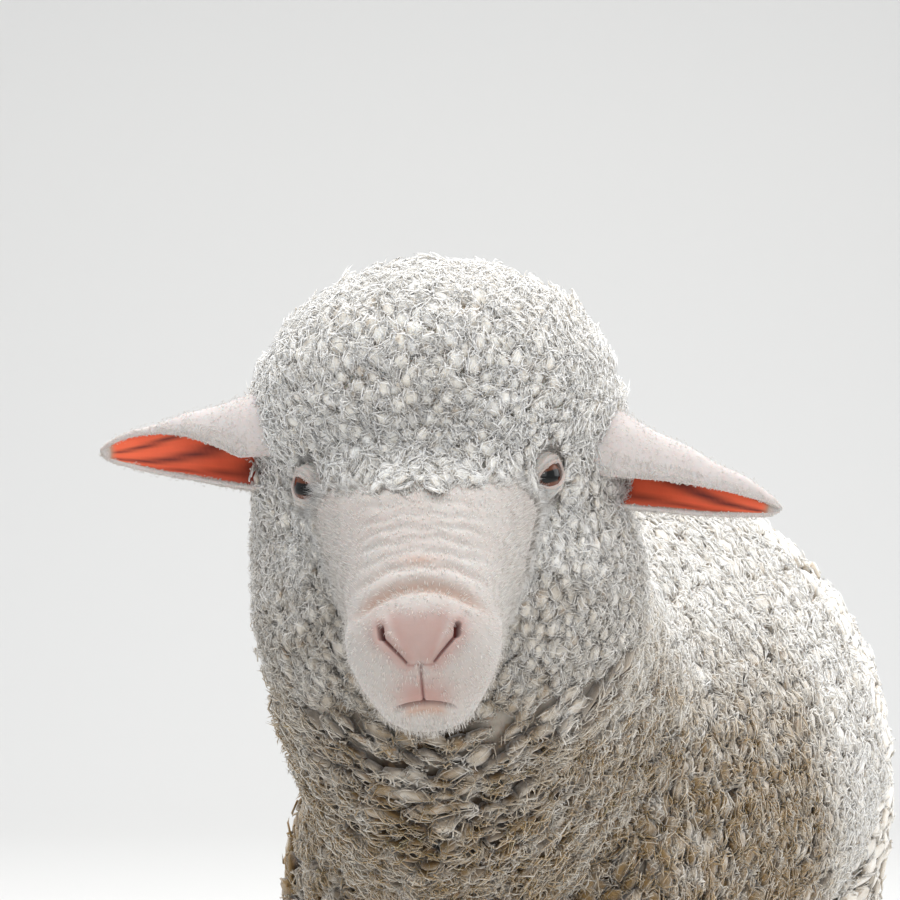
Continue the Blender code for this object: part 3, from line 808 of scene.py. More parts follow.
def build_skin():
    """The flesh fused, its face shaped, drawn in by the fleece's depth, with ears and lids added."""
    item = fused_flesh()
    mesh = item.data
    keep_largest(mesh)
    put_vertices(mesh, relaxed(vertices_of(mesh), edges_of(mesh), 8))
    for wanted, rounds in ((front_of_head, 6), (thinly_covered, 4), (muzzle_and_eyes, 2), (nose_and_lips, 2)):
        refine(mesh, wanted)
        round_face(mesh, rounds)
    points, edges = vertices_of(mesh), edges_of(mesh)

    def blurred(values, rounds):
        return relaxed(values[:, None], edges, rounds, keep_volume=False)[:, 0]

    normal = unit(relaxed(normals_of(mesh), edges, 4, keep_volume=False))
    share = fleece_share(points)
    deep = blurred(fleece_depth(points, share), 6)
    q = to_head(points)
    face_height, pink, dark, tan = face_relief(q)
    bare_face = (1 - fleece_on_head(q)) * (span(q) < HEAD_REACH)
    inward = points - normal * deep[:, None]
    # The step from bare face to fleece is drawn out into a slope.
    edge = blurred(np.clip(5 * share * (1 - share), 0, 1), 6) * (points[:, 2] > HEAD_FLOOR)
    inward = relaxed(inward, edges, 40, edge, keep_volume=False)
    # Never outside the solids' own surface.
    out = np.sum((inward - points) * normal, axis=1)
    inward -= normal * np.maximum(out + 0.0006, 0.0)[:, None]
    deep = np.maximum(np.linalg.norm(points - inward, axis=1), HAIR_DEPTH)
    # Hair of the face is longest at its sides and under the chin.
    t, across, _ = along_nose(q)
    half = np.interp(t, FACE_CURVE[:, 0], FACE_CURVE[:, 3])
    sides = ease(0.72, 1.0, np.abs(across) / half) * (1 - ease(0.080, 0.105, t))
    chin = (1 - ease(-0.112, -0.100, q[:, 2])) * (q[:, 1] < -0.02)
    length = deep + bare_face * 0.0016 * np.maximum(sides, chin)
    inward += normal * (face_height * bare_face)[:, None]
    inward = from_head(cover_eyes(taper_muzzle(to_head(inward))))
    # Inside the hooves the skin stays out of sight.
    low = inward[:, 2] < 0.030
    inward[:, 2] = np.where(low, np.maximum(inward[:, 2], 0.018), inward[:, 2])
    body = (inward, [tuple(f.vertices) for f in mesh.polygons])
    ears = [make_ear(*ear) for ear in EARS]
    lids = [make_lids(side) for side in (1, -1)]
    made = join_meshes("skin", [body] + ears + lids)
    item.data = made
    on_ears, on_lids = ([np.zeros(len(part[0])) for part in parts] for parts in (ears, lids))

    def column(on_body, ear_values=on_ears, lid_values=on_lids):
        return np.concatenate([on_body, *ear_values, *lid_values])

    attribute(made, "wool", column(share))
    attribute(made, "depth", column(length, [z + 0.0012 for z in on_ears], [z + 0.0008 for z in on_lids]))
    attribute(made, "pink", column(pink * bare_face, lid_values=[lid[2] * 0.8 for lid in lids]))
    # Painted shade in the nostrils, the groove under the nose, a crease and the mouth line.
    attribute(made, "dark", column(dark * bare_face))
    attribute(made, "tan", column(tan * bare_face))
    nowhere = np.zeros(len(inward))
    attribute(made, "inner_ear", column(nowhere, [ear[2] for ear in ears]))
    attribute(made, "ear", column(nowhere, [z + 1 for z in on_ears]))
    attribute(made, "streak", column(nowhere, [ear[3] for ear in ears]))
    everywhere = vertices_of(made)
    attribute(made, "tone", tones(everywhere))
    hairy = [
        np.where(ear[4], ZONES["ear_rims"], np.where(ear[2] > 0, ZONES["none"], ZONES["ears"]))
        for ear in ears
    ]
    zone = column(zones(points, share), hairy, [lid[3] for lid in lids])
    first = np.array([polygon.vertices[0] for polygon in made.polygons])
    attribute(made, "zone", zone.astype(int)[first], "INT", "FACE")
    # On the body both directions are those of the flesh's own surface; on an ear hair points to its tip.
    outward = unit(relaxed(normals_of(made), edges_of(made), 3, keep_volume=False))
    outward[: len(normal)] = normal
    lie = lie_of_coat(everywhere, outward)
    lie[: len(normal)] = lie_of_coat(points, normal)
    start = len(inward)
    for ear, (side, *_) in zip(ears, EARS):
        end = start + len(ear[0])
        way = np.array((side, 0.2, -0.2)) @ HEAD_AXES
        lie[start:end] = unit(way - (outward[start:end] @ way)[:, None] * outward[start:end])
        start = end
    attribute(made, "outward", outward, "FLOAT_VECTOR")
    attribute(made, "lie", lie, "FLOAT_VECTOR")
    smooth(made)
    unwrap(item)
    return item


def unwrap(item):
    """A map of the skin's own shape, from which every tuft takes the place of its root."""
    item.data.uv_layers.new(name="OFBake")
    bpy.ops.object.select_all(action="DESELECT")
    item.select_set(True)
    bpy.context.view_layer.objects.active = item
    bpy.ops.object.mode_set(mode="EDIT")
    bpy.ops.mesh.select_all(action="SELECT")
    bpy.ops.uv.smart_project(angle_limit=math.radians(66), island_margin=0.001)
    bpy.ops.object.mode_set(mode="OBJECT")


# ------------------------------------------------------------------ materials


def enabled(sockets, name=None):
    """The first socket, of that name if one is given, that the node's settings leave in use."""
    return next(s for s in sockets if s.enabled and name in (None, s.name))


class Nodes:
    """Adds nodes to a tree and links them, one line each."""

    def __init__(self, tree):
        self.tree = tree

    def add(self, kind, inputs=None, **settings):
        made = self.tree.nodes.new(kind)
        for key, value in settings.items():
            setattr(made, key, value)
        for key, value in (inputs or {}).items():
            self.fill(made.inputs[key], value)
        return made

    def fill(self, socket, value):
        """Links the socket to another one, or sets its value."""
        if isinstance(value, bpy.types.NodeSocket):
            self.tree.links.new(value, socket)
        else:
            socket.default_value = value

    def maths(self, operation, a, b=0.0, clamp=False):
        return self.add("ShaderNodeMath", {0: a, 1: b}, operation=operation, use_clamp=clamp).outputs[0]

    def mix(self, share, a, b, blend="MIX"):
        made = self.add("ShaderNodeMix", data_type="RGBA", blend_type=blend, clamp_result=True)
        for key, value in (("Factor", share), ("A", a), ("B", b)):
            self.fill(enabled(made.inputs, key), value)
        return enabled(made.outputs)

    def ramp(self, value, *stops):
        """A number to a number through (in, out) stops."""
        made = self.add("ShaderNodeMapRange", {"Value": value}, clamp=True)
        made.inputs["From Min"].default_value = stops[0][0]
        made.inputs["To Min"].default_value = stops[0][1]
        made.inputs["From Max"].default_value = stops[-1][0]
        made.inputs["To Max"].default_value = stops[-1][1]
        return made.outputs["Result"]

    def attribute(self, name, output="Fac"):
        return self.add("ShaderNodeAttribute", attribute_name=name).outputs[output]

    def noise(self, where, scale, detail=3.0, rough=0.5, output=0):
        inputs = {"Vector": where, "Scale": scale, "Detail": detail, "Roughness": rough}
        return self.add("ShaderNodeTexNoise", inputs).outputs[output]


def colour(r, g, b):
    """From sRGB 0-255 to linear."""

    def linear(v):
        v /= 255
        return v / 12.92 if v <= 0.04045 else ((v + 0.055) / 1.055) ** 2.4

    return linear(r), linear(g), linear(b), 1.0


# How far red, green and blue light spread under the surface.
FLESH_REACH = (0.0036, 0.0014, 0.0009)
WOOL_REACH = (0.0030, 0.0028, 0.0025)

# Wool: clean, then at its deepest colour, where dirt and painted shade under the head meet.
WOOL_TIPS = colour(254, 250, 242), colour(127, 102, 62)
# Painted shade: the wool's colour low among the staples, deeper than at the tips, and deeper still where the
# wool is dirty.
WOOL_ROOTS_IN_SHADE = colour(226, 217, 204), colour(60, 42, 18)
WOOL_STAIN = colour(146, 118, 86)
# Skin and hair, each between a lighter and a darker shade.
WHITE_SKIN = colour(179, 173, 168), colour(169, 161, 155)
PINK_SKIN = colour(164, 131, 122), colour(148, 108, 98)
TAN_SKIN = colour(164, 120, 94)
# Painted shade in the nostrils, the groove under the nose, a crease and the mouth line, in a deep red-brown.
SKIN_IN_SHADE = colour(112, 42, 34)
EAR_BACK_SKIN = colour(194, 187, 184), colour(184, 175, 171)
EAR_EDGE = colour(160, 134, 112)
EAR_TROUGH = colour(238, 112, 72), colour(214, 90, 58)
EAR_STREAK_COLOUR = colour(104, 40, 32)
WHITE_HAIR = colour(214, 209, 203), colour(200, 193, 185)
PINK_HAIR = colour(190, 160, 152)
# Eyes and hooves.
IRIS = colour(112, 62, 38), colour(60, 33, 21)
IRIS_RIM = colour(30, 16, 11)
PUPIL = colour(4, 5, 4)
EYE_WHITE = colour(120, 86, 74), colour(84, 54, 46)
HORN = colour(150, 130, 104), colour(92, 76, 58)


def material(name, roughness=0.85, sheen=0.0, coat=0.0, specular=0.3, subsurface=0.0, reach=FLESH_REACH):
    """A material with one Principled shader, and a helper that adds nodes to it."""
    made = bpy.data.materials.new(name)
    made.use_nodes = True
    made.node_tree.nodes.clear()
    n = Nodes(made.node_tree)
    out = n.add("ShaderNodeOutputMaterial")
    shader = n.add("ShaderNodeBsdfPrincipled")
    made.node_tree.links.new(shader.outputs[0], out.inputs["Surface"])
    shader.inputs["Roughness"].default_value = roughness
    shader.inputs["Sheen Weight"].default_value = sheen
    shader.inputs["Coat Weight"].default_value = coat
    shader.inputs["Coat Roughness"].default_value = 0.06
    shader.inputs["Specular IOR Level"].default_value = specular
    if subsurface:
        shader.inputs["Subsurface Weight"].default_value = subsurface
        shader.inputs["Subsurface Radius"].default_value = reach
        shader.inputs["Subsurface Scale"].default_value = 1.0
    return made, n, shader


def paint(n, shader, tint, height=None, strength=1.0, distance=0.001):
    """Links a colour, and where given a bump, to the shader."""
    n.tree.links.new(tint, shader.inputs["Base Color"])
    if height is not None:
        bump = n.add("ShaderNodeBump", {"Height": height, "Strength": strength, "Distance": distance})
        n.tree.links.new(bump.outputs[0], shader.inputs["Normal"])


def fleece_colour(n, tip):
    """The fleece's colour from the tone of the place, which is partly painted shade, from fine spots, and from
    the height up the staple: towards the roots it darkens, painted shade among the staples.
    """
    where = n.add("ShaderNodeTexCoord").outputs["Object"]
    tone = n.attribute("tone")
    patches = n.noise(where, 24.0, 3.0)
    spots = n.noise(where, 150.0, 2.0)
    clumps = n.maths("SUBTRACT", n.noise(where, 70.0, 2.0), 0.5)
    clumps = n.maths("MULTIPLY", clumps, n.maths("MULTIPLY", tone, 1.6))
    patchy = n.maths("MULTIPLY", n.maths("SUBTRACT", patches, 0.5), 0.50)
    tone = n.maths("ADD", n.maths("ADD", tone, clumps), patchy, True)
    # Low on the staple the colour is the roots': painted shade among the staples.
    tips, deep = n.mix(tone, *WOOL_TIPS), n.mix(tone, *WOOL_ROOTS_IN_SHADE)
    amount = n.maths("ADD", n.maths("MULTIPLY", tone, 0.50), 0.34)
    brown = n.maths("MULTIPLY", n.ramp(spots, (0.60, 0.0), (0.70, 1.0)), amount)
    return n.mix(brown, n.mix(tip, deep, tips), WOOL_STAIN), where


def fleece_material():
    made, n, shader = material("fleece", 1.0, sheen=0.5, specular=0.05, subsurface=0.8, reach=WOOL_REACH)
    # Height up the staple, which deepens the colour towards the roots as painted shade.
    tip = n.ramp(n.attribute("tip"), (0.15, 0.0), (0.58, 1.0))
    tint, where = fleece_colour(n, tip)
    vary = n.maths("ADD", n.maths("MULTIPLY", n.attribute("tuft_random"), 0.12), 0.92)
    grey = n.add("ShaderNodeCombineColor", {0: vary, 1: vary, 2: vary}).outputs[0]
    paint(n, shader, n.mix(1.0, tint, grey, "MULTIPLY"), n.noise(where, 560.0, 5.0, 0.7), 0.7, 0.0012)
    return made


def skin_material():
    """Bare skin with its pink and tan places and painted shade in its openings and creases, the ears' red
    troughs, and where wool grows the wool's root colour, painted shade between the staples.
    """
    made, n, shader = material("skin", 0.62, sheen=0.25, specular=0.3, subsurface=0.35)
    wool, inner_ear = n.attribute("wool"), n.attribute("inner_ear")
    # Where wool grows, the skin takes the wool's colour near its roots: painted shade between the staples.
    deep, where = fleece_colour(n, 0.1)
    fine = n.noise(where, 140.0, 4.0)
    coarse = n.noise(where, 32.0, 2.0)
    ridge = n.noise(where, 60.0, 3.0)
    blotches = n.maths("MULTIPLY", n.ramp(coarse, (0.45, 0.0), (0.75, 1.0)), 0.10)
    pink = n.maths("ADD", n.attribute("pink"), blotches, True)
    face = n.mix(pink, n.mix(coarse, *WHITE_SKIN), n.mix(fine, *PINK_SKIN))
    trough = n.mix(n.attribute("streak"), n.mix(ridge, *EAR_TROUGH), EAR_STREAK_COLOUR)
    for share, over in (
        (n.attribute("tan"), TAN_SKIN),
        (n.attribute("dark"), SKIN_IN_SHADE),
        (n.attribute("ear"), n.mix(fine, *EAR_BACK_SKIN)),
        (n.ramp(inner_ear, (0.0, 0.0), (0.45, 1.0)), EAR_EDGE),
        (n.ramp(inner_ear, (0.25, 0.0), (0.9, 1.0)), trough),
        (n.ramp(wool, (0.15, 0.0), (0.55, 1.0)), deep),
    ):
        face = n.mix(share, face, over)
    hair = n.noise(where, 700.0, 3.0, 0.6)
    along = n.add("ShaderNodeMapping", {"Vector": where, "Scale": (1.0, 1.0, 0.35)}).outputs[0]
    rougher = n.maths("ADD", n.maths("MULTIPLY", wool, 6.0), 1.0)
    strokes = n.maths("MULTIPLY", n.noise(along, 420.0, 3.0, 0.6), rougher)
    paint(n, shader, face, n.maths("ADD", n.maths("MULTIPLY", hair, 0.5), strokes), 0.25, 0.0006)
    return made


def hair_material():
    made, n, shader = material("short_hair", 0.8, sheen=0.3, specular=0.2)
    where = n.add("ShaderNodeTexCoord").outputs["Object"]
    tint = n.mix(n.noise(where, 60.0, 2.0), *WHITE_HAIR)
    paint(n, shader, n.mix(n.maths("MULTIPLY", n.attribute("pink"), 0.7), tint, PINK_HAIR))
    return made


def eye_material():
    made, n, shader = material("eye", 0.12, coat=0.15, specular=0.25)
    local = n.attribute("eye_place", "Vector")
    parts = n.add("ShaderNodeSeparateXYZ", {0: local})
    a, b = parts.outputs[0], parts.outputs[1]

    def length(along, up):
        squares = n.maths("ADD", n.maths("MULTIPLY", along, along), n.maths("MULTIPLY", up, up))
        return n.maths("SQRT", squares)

    off = length(a, b)
    iris = n.mix(n.noise(local, 9.0, 6.0, 0.7), *IRIS)
    iris = n.mix(n.ramp(off, (0.44, 0.0), (0.64, 1.0)), iris, IRIS_RIM)
    # The pupil is a level bar with round ends.
    bar = length(n.maths("MAXIMUM", n.maths("SUBTRACT", n.maths("ABSOLUTE", a), 0.24), 0.0), b)
    iris = n.mix(n.ramp(bar, (0.20, 1.0), (0.26, 0.0)), iris, PUPIL)
    white = n.mix(n.noise(local, 5.0, 3.0), *EYE_WHITE)
    paint(n, shader, n.mix(n.ramp(off, (0.66, 0.0), (0.72, 1.0)), iris, white))
    return made


def horn_material():
    made, n, shader = material("horn", 0.55, specular=0.4)
    where = n.add("ShaderNodeTexCoord").outputs["Object"]
    rings = n.add("ShaderNodeMapping", {"Vector": where, "Scale": (1.0, 1.0, 9.0)}).outputs[0]
    growth = n.noise(rings, 60.0, 3.0)
    paint(n, shader, n.mix(growth, *HORN), growth, 0.5, 0.0008)
    return made


# ------------------------------------------------------------------ tufts


def put_tuft_attributes(mesh, points, tip):
    """How far up the tuft each point is, and its place on the tuft's own small patch of the map."""
    attribute(mesh, "tip", tip)
    corner = np.empty(len(mesh.loops), np.int32)
    mesh.loops.foreach_get("vertex_index", corner)
    patch = np.stack([0.5 + 0.45 * np.clip(points[corner, 0], -1, 1), tip[corner]], 1)
    attribute(mesh, "patch", patch, "FLOAT2", "CORNER")
    smooth(mesh)


STRAND_SIDES = 3


def strand_mesh(name, paths, widths, by_height=False):
    """Closed tapering strands: each path is rows of points, widths the radius at each row but the tip.
    The tip attribute runs along each strand, or follows its height above the skin."""
    points, faces, tip = [], [], []
    sides = STRAND_SIDES
    for number, path in enumerate(paths):
        base = len(points)
        rows = len(path)
        for i in range(rows - 1):
            ahead = unit(path[i + 1] - path[max(i - 1, 0)])
            side = unit(np.cross(ahead, (0.3, 0.9, 0.1)))
            over = np.cross(side, ahead)
            for k in range(sides):
                angle = math.tau * k / sides + number
                points.append(path[i] + (side * math.cos(angle) + over * math.sin(angle)) * widths[i])
                tip.append(i / (rows - 1))
        points.append(path[-1])
        tip.append(1.0)
        for i in range(rows - 2):
            for k in range(sides):
                n = (k + 1) % sides
                a = base + i * sides
                faces.append((a + k, a + n, a + sides + n, a + sides + k))
        a = base + (rows - 2) * sides
        for k in range(sides):
            faces.append((a + k, a + (k + 1) % sides, base + (rows - 1) * sides))
        faces.append(tuple(base + k for k in range(sides - 1, -1, -1)))
    mesh = mesh_from(name, points, faces)
    points = np.array(points)
    put_tuft_attributes(mesh, points, np.clip(points[:, 2], 0, 1) if by_height else np.array(tip))
    return mesh


def merged_mesh(name, pieces):
    """One mesh from several that carry the same attributes."""
    mesh = bpy.data.meshes.new(name)
    with opened(mesh) as shape:
        for piece in pieces:
            shape.from_mesh(piece)
    smooth(mesh)
    return mesh


def lump(rng, wide, top, stretch, sides=6):
    """The body of a staple: a closed uneven bud, narrow at the skin and round at the top."""
    profile = ((-0.05, 0.42), (0.50, 0.62), (0.84, 0.44))
    points, faces = [], []
    for height, radius in profile:
        for k in range(sides):
            angle = math.tau * k / sides + 0.5 * height
            swell = wide * radius * (1 + 0.22 * rng.uniform(-1, 1))
            level = top * (height + 0.05 * rng.uniform(-1, 1))
            points.append((swell * stretch * math.cos(angle), swell / stretch * math.sin(angle), level))
    points.append((wide * 0.1 * rng.uniform(-1, 1), wide * 0.1 * rng.uniform(-1, 1), top))
    for i in range(len(profile) - 1):
        for k in range(sides):
            n = (k + 1) % sides
            faces.append((i * sides + k, i * sides + n, (i + 1) * sides + n, (i + 1) * sides + k))
    last = (len(profile) - 1) * sides
    for k in range(sides):
        faces.append((last + k, last + (k + 1) % sides, last + sides))
    faces.append(tuple(range(sides - 1, -1, -1)))
    mesh = mesh_from("lump", points, faces)
    points = np.array(points)
    put_tuft_attributes(mesh, points, np.clip(points[:, 2], 0, 1))
    return mesh


def floret(name, rng, count, wide, core, thick, upward, fly):
    """A staple with a rounded tip: strands curl over its body, towards the top by the share `upward`."""
    stretch = rng.uniform(0.82, 1.20)
    body = lump(rng, 0.86 * wide, core, stretch)
    paths = []
    for k in range(count):
        around, polar = math.tau * (0.618 * k + 0.1 * rng.random()), math.acos(rng.uniform(-0.30, 0.92))
        east, north, high, low = math.cos(around), math.sin(around), math.cos(polar), math.sin(polar)
        place = np.array((low * east, low * north, high))
        climb = np.array((-high * east, -high * north, low))
        way = rng.normal(0, 1, 3)
        way = unit(unit(way - way @ place * place) * (1 - upward) + climb * upward)
        step, out, loose = math.radians(rng.uniform(28, 52)), rng.uniform(0.84, 1.06), fly * rng.random()
        bend = 0.7 * rng.normal()
        path = []
        for i in (-1.0, 0.4, 1.0):
            on = unit(place + way * i * math.tan(step) + np.cross(place, way) * bend * i * i * 0.5)
            reach = out + loose * max(i, 0.0)
            flat = 0.62 * wide * reach
            path.append((flat * stretch * on[0], flat / stretch * on[1], max(0.02, 0.42 + 0.52 * on[2] * reach)))
        paths.append(np.array(path))
    return merged_mesh(name, [body, strand_mesh("strands", paths, (thick, thick * 0.9), by_height=True)])


KINDS = 8  # different tufts of each sort


def staples(name, seed, **shape):
    """Different staples of one sort."""
    return tuft_collection(name, [
        floret(f"{name}_{k}", np.random.default_rng(seed + k), **shape) for k in range(KINDS)])


def short_hairs(name, seed, count, thick):
    """Tufts of short flat hair: single tapering strands along the lie of the coat."""
    made = []
    for k in range(KINDS):
        rng = np.random.default_rng(seed + k)
        paths = []
        for _ in range(count):
            flat = rng.uniform(-0.8, 0.8, 2)
            way = rng.normal(0, 0.18, 2)
            paths.append(np.array(((*flat, -0.08), (*(flat + way), rng.uniform(0.75, 1.05)))))
        made.append(strand_mesh(f"{name}_{k}", paths, (thick,)))
    return tuft_collection(name, made)


def tuft_collection(name, meshes):
    """Tufts for the growth tree to pick from."""
    home = bpy.data.collections.new(name)
    for mesh in meshes:
        home.objects.link(bpy.data.objects.new(mesh.name, mesh))
    return home


def growth_tree():
    """Grows tufts on one zone of a surface: rooted on the skin, leaning with the lie of the coat."""
    tree = bpy.data.node_groups.new("grow_tufts", "GeometryNodeTree")
    face = tree.interface
    face.new_socket("Geometry", in_out="INPUT", socket_type="NodeSocketGeometry")
    for name, kind, default in (
        ("Tufts", "NodeSocketCollection", None),
        ("Zone", "NodeSocketInt", 1),
        ("Spacing", "NodeSocketFloat", 0.01),
        ("Width", "NodeSocketFloat", 0.01),
        ("Reach", "NodeSocketFloat", 1.0),
        ("Lean", "NodeSocketFloat", 0.2),
        ("Disorder", "NodeSocketFloat", 0.2),
        ("Clumps", "NodeSocketFloat", 90.0),
        ("Relief", "NodeSocketFloat", 1.0),
        ("Seed", "NodeSocketInt", 1),
        ("Material", "NodeSocketMaterial", None),
    ):
        socket = face.new_socket(name, in_out="INPUT", socket_type=kind)
        if default is not None:
            socket.default_value = default
    face.new_socket("Geometry", in_out="OUTPUT", socket_type="NodeSocketGeometry")
    n = Nodes(tree)
    given = n.add("NodeGroupInput").outputs

    def named(attribute_name, kind="FLOAT"):
        node = n.add("GeometryNodeInputNamedAttribute", {"Name": attribute_name}, data_type=kind)
        return node.outputs["Attribute"]

    def random(low, high, offset=0, kind="FLOAT"):
        node = n.add("FunctionNodeRandomValue", data_type=kind)
        seed = n.maths("ADD", given["Seed"], offset) if offset else given["Seed"]
        for name, value in (("Min", low), ("Max", high), ("Seed", seed)):
            n.fill(enabled(node.inputs, name), value)
        return enabled(node.outputs)

    def vector(operation, a, b):
        second = "Scale" if operation == "SCALE" else 1
        return n.add("ShaderNodeVectorMath", {0: a, second: b}, operation=operation).outputs[0]

    def store(geometry, name, kind, domain, value):
        inputs = {"Geometry": geometry, "Name": name}
        node = n.add("GeometryNodeStoreNamedAttribute", inputs, data_type=kind, domain=domain)
        n.fill(enabled(node.inputs, "Value"), value)
        return node.outputs["Geometry"]

    here = n.add("FunctionNodeCompare", data_type="INT", operation="EQUAL")
    n.fill(enabled(here.inputs, "A"), named("zone", "INT"))
    n.fill(enabled(here.inputs, "B"), given["Zone"])
    crowd = n.maths("DIVIDE", 6.0, n.maths("MULTIPLY", given["Spacing"], given["Spacing"]))
    chosen = {"Mesh": given["Geometry"], "Selection": here.outputs[0], "Seed": given["Seed"],
              "Distance Min": given["Spacing"], "Density Max": crowd}
    scatter = n.add("GeometryNodeDistributePointsOnFaces", chosen, distribute_method="POISSON")

    lie = named("lie", "FLOAT_VECTOR")
    up = vector("ADD", named("outward", "FLOAT_VECTOR"), vector("SCALE", lie, given["Lean"]))
    # Neighbours part and meet in clumps, over a finer disorder of their own.
    where = n.add("GeometryNodeInputPosition").outputs[0]
    clumps = n.add("ShaderNodeTexNoise", {"Vector": where, "Detail": 1.0, "Scale": given["Clumps"]})
    drift = vector("SUBTRACT", clumps.outputs["Color"], (0.5, 0.5, 0.5))
    drift = vector("MULTIPLY", drift, (4.5, 4.5, 4.5))
    drift = vector("ADD", drift, random((-0.55, -0.55, -0.55), (0.55, 0.55, 0.55), 11, "FLOAT_VECTOR"))
    up = vector("ADD", up, vector("SCALE", drift, given["Disorder"]))
    turn = n.add("FunctionNodeAxesToRotation", {0: up, 1: lie}, primary_axis="Z", secondary_axis="X")
    spin = n.add("ShaderNodeCombineXYZ", {2: random(-0.9, 0.9, 23)})
    turns = {0: turn.outputs[0], 1: spin.outputs[0]}
    spun = n.add("FunctionNodeRotateRotation", turns, rotation_space="LOCAL")

    wide = n.maths("MULTIPLY", given["Width"], random(0.80, 1.20, 31))
    relief = n.maths("MULTIPLY", n.maths("SUBTRACT", clumps.outputs["Fac"], 0.5), given["Relief"])
    relief = n.maths("MINIMUM", n.maths("MAXIMUM", n.maths("ADD", relief, 0.97), 0.40), 1.12)
    tall = n.maths("MULTIPLY", n.maths("MULTIPLY", named("depth"), given["Reach"]), random(0.88, 1.05, 37))
    size = n.add("ShaderNodeCombineXYZ", {0: wide, 1: wide, 2: n.maths("MULTIPLY", tall, relief)})
    pick = n.add("GeometryNodeCollectionInfo",
                 {"Collection": given["Tufts"], "Separate Children": True, "Reset Children": True})
    place = n.add("GeometryNodeInstanceOnPoints", {
        "Points": scatter.outputs["Points"], "Instance": pick.outputs[0], "Pick Instance": True,
        "Instance Index": random(0, 63, kind="INT"), "Rotation": spun.outputs[0], "Scale": size.outputs[0]})

    grown = store(place.outputs[0], "tuft_random", "FLOAT", "INSTANCE", random(0.0, 1.0, 41))
    root = named("OFBake", "FLOAT_VECTOR")
    grown = store(grown, "root_place", "FLOAT_VECTOR", "INSTANCE", root)
    real = n.add("GeometryNodeRealizeInstances", {"Geometry": grown}).outputs[0]
    # Each tuft has a small patch of the map, at its root's place.
    own = vector("SCALE", named("patch", "FLOAT_VECTOR"), 0.003)
    spot = vector("ADD", named("root_place", "FLOAT_VECTOR"), own)
    mapped = store(real, "OFBake", "FLOAT2", "CORNER", spot)
    painted = n.add("GeometryNodeSetMaterial", {"Geometry": mapped, "Material": given["Material"]})
    n.add("NodeGroupOutput", {0: painted.outputs[0]})
    return tree


SKIN_ONLY = ("outward", "lie", "root_place", "zone", "depth", "patch", "wool", "dark", "tan",
             "inner_ear", "ear", "streak")


def grow(name, skin, tree, tufts, finish, **inputs):
    """A plain mesh of tufts grown on one zone of the skin."""
    carrier = new_object(name, skin.data)
    change = carrier.modifiers.new("grow", "NODES")
    change.node_group = tree
    sockets = {s.name: s.identifier for s in tree.interface.items_tree if s.in_out == "INPUT"}
    change[sockets["Tufts"]] = tufts
    change[sockets["Material"]] = finish
    for key, value in inputs.items():
        change[sockets[key]] = value
    applied(carrier)
    for word in SKIN_ONLY:
        layer = carrier.data.attributes.get(word)
        if layer:
            carrier.data.attributes.remove(layer)
    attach(carrier, "root")
    return carrier


# ------------------------------------------------------------------ eyes, hooves


def build_eye(side, finish):
    """An eyeball with a slight swell at the cornea and a level bar of a pupil."""
    gaze, long, high = looking(side, PUPIL_OUT, -0.05, math.radians(10))
    mesh = bpy.data.meshes.new("eye")
    with opened(mesh) as shape:
        bmesh.ops.create_uvsphere(shape, u_segments=48, v_segments=32, radius=1.0)
    ball = vertices_of(mesh)
    swell = 1 + 0.045 * (1 - ease(0.25, 0.62, np.hypot(ball[:, 0], ball[:, 1]))) * (ball[:, 2] > 0)
    turned = ball[:, :1] * long + ball[:, 1:2] * high + ball[:, 2:] * gaze
    put_vertices(mesh, from_head(eye_frame(side)[0] + EYE_RADIUS * 0.985 * swell[:, None] * turned))
    attribute(mesh, "eye_place", ball, "FLOAT_VECTOR")
    with opened(mesh) as shape:
        bmesh.ops.recalc_face_normals(shape, faces=shape.faces)
    smooth(mesh)
    mesh.materials.append(finish)
    item = new_object("eyeball_left" if side > 0 else "eyeball_right", mesh)
    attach(item, "root")
    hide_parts("eye_left" if side > 0 else "eye_right")
    return item


def simplified(piece):
    """Drops the edges between faces that lie nearly flat."""
    bmesh.ops.dissolve_limit(piece, angle_limit=0.02, verts=piece.verts, edges=piece.edges)


def build_hooves(finish):
    """Each claw and dewclaw as a rounded copy of its solid."""
    item = new_object("hooves", copies_of(CLAWS + DEWCLAWS, "hooves", simplified))
    soften = item.modifiers.new("soften", "BEVEL")
    soften.width = 0.0016
    soften.segments = 3
    soften.limit_method = "ANGLE"
    soften.angle_limit = math.radians(35)
    applied(item)
    smooth(item.data)
    item.data.materials.append(finish)
    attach(item, "root")
    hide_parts(*CLAWS, *DEWCLAWS)
    return item


# ------------------------------------------------------------------ settings and operators


def apart(label, where, default):
    """A setting for how far apart staples stand."""
    return bpy.props.FloatProperty(
        name=label, description=f"Distance between staples on {where}",
        default=default, min=0.001, max=0.03, subtype="DISTANCE", unit="LENGTH")


class FleeceSettings(bpy.types.PropertyGroup):
    cap_spacing: apart("Cap staples apart", "the head", 0.0054)
    cheek_spacing: apart("Cheek staples apart", "the cheeks", 0.0053)
    neck_spacing: apart("Neck staples apart", "neck and chest", 0.0088)
    body_spacing: apart("Body staples apart", "the body", 0.0095)
    seed: bpy.props.IntProperty(name="Seed", description="Picks one scatter of staples", default=7, min=0)


class StageSettings(bpy.types.PropertyGroup):
    floor_colour: bpy.props.FloatVectorProperty(
        name="Floor colour", description="Colour of floor and backdrop",
        default=(0.80, 0.79, 0.77), size=3, min=0, max=1, subtype="COLOR")
    light: bpy.props.FloatProperty(
        name="Light", description="Strength of the studio's soft light", default=1.0, min=0.0, max=10.0)


def made_skin():
    return bpy.data.objects["skin"]


class SHEEP_OT_skin(bpy.types.Operator):
    """Make one skin for the whole animal, with its face, lids and ears"""

    bl_idname = "sheep.skin"
    bl_label = "Skin"

    def execute(self, context):
        item = build_skin()
        item.data.materials.append(skin_material())
        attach(item, "root")
        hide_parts(*BODY_NODES, *EAR_NODES)
        return {"FINISHED"}


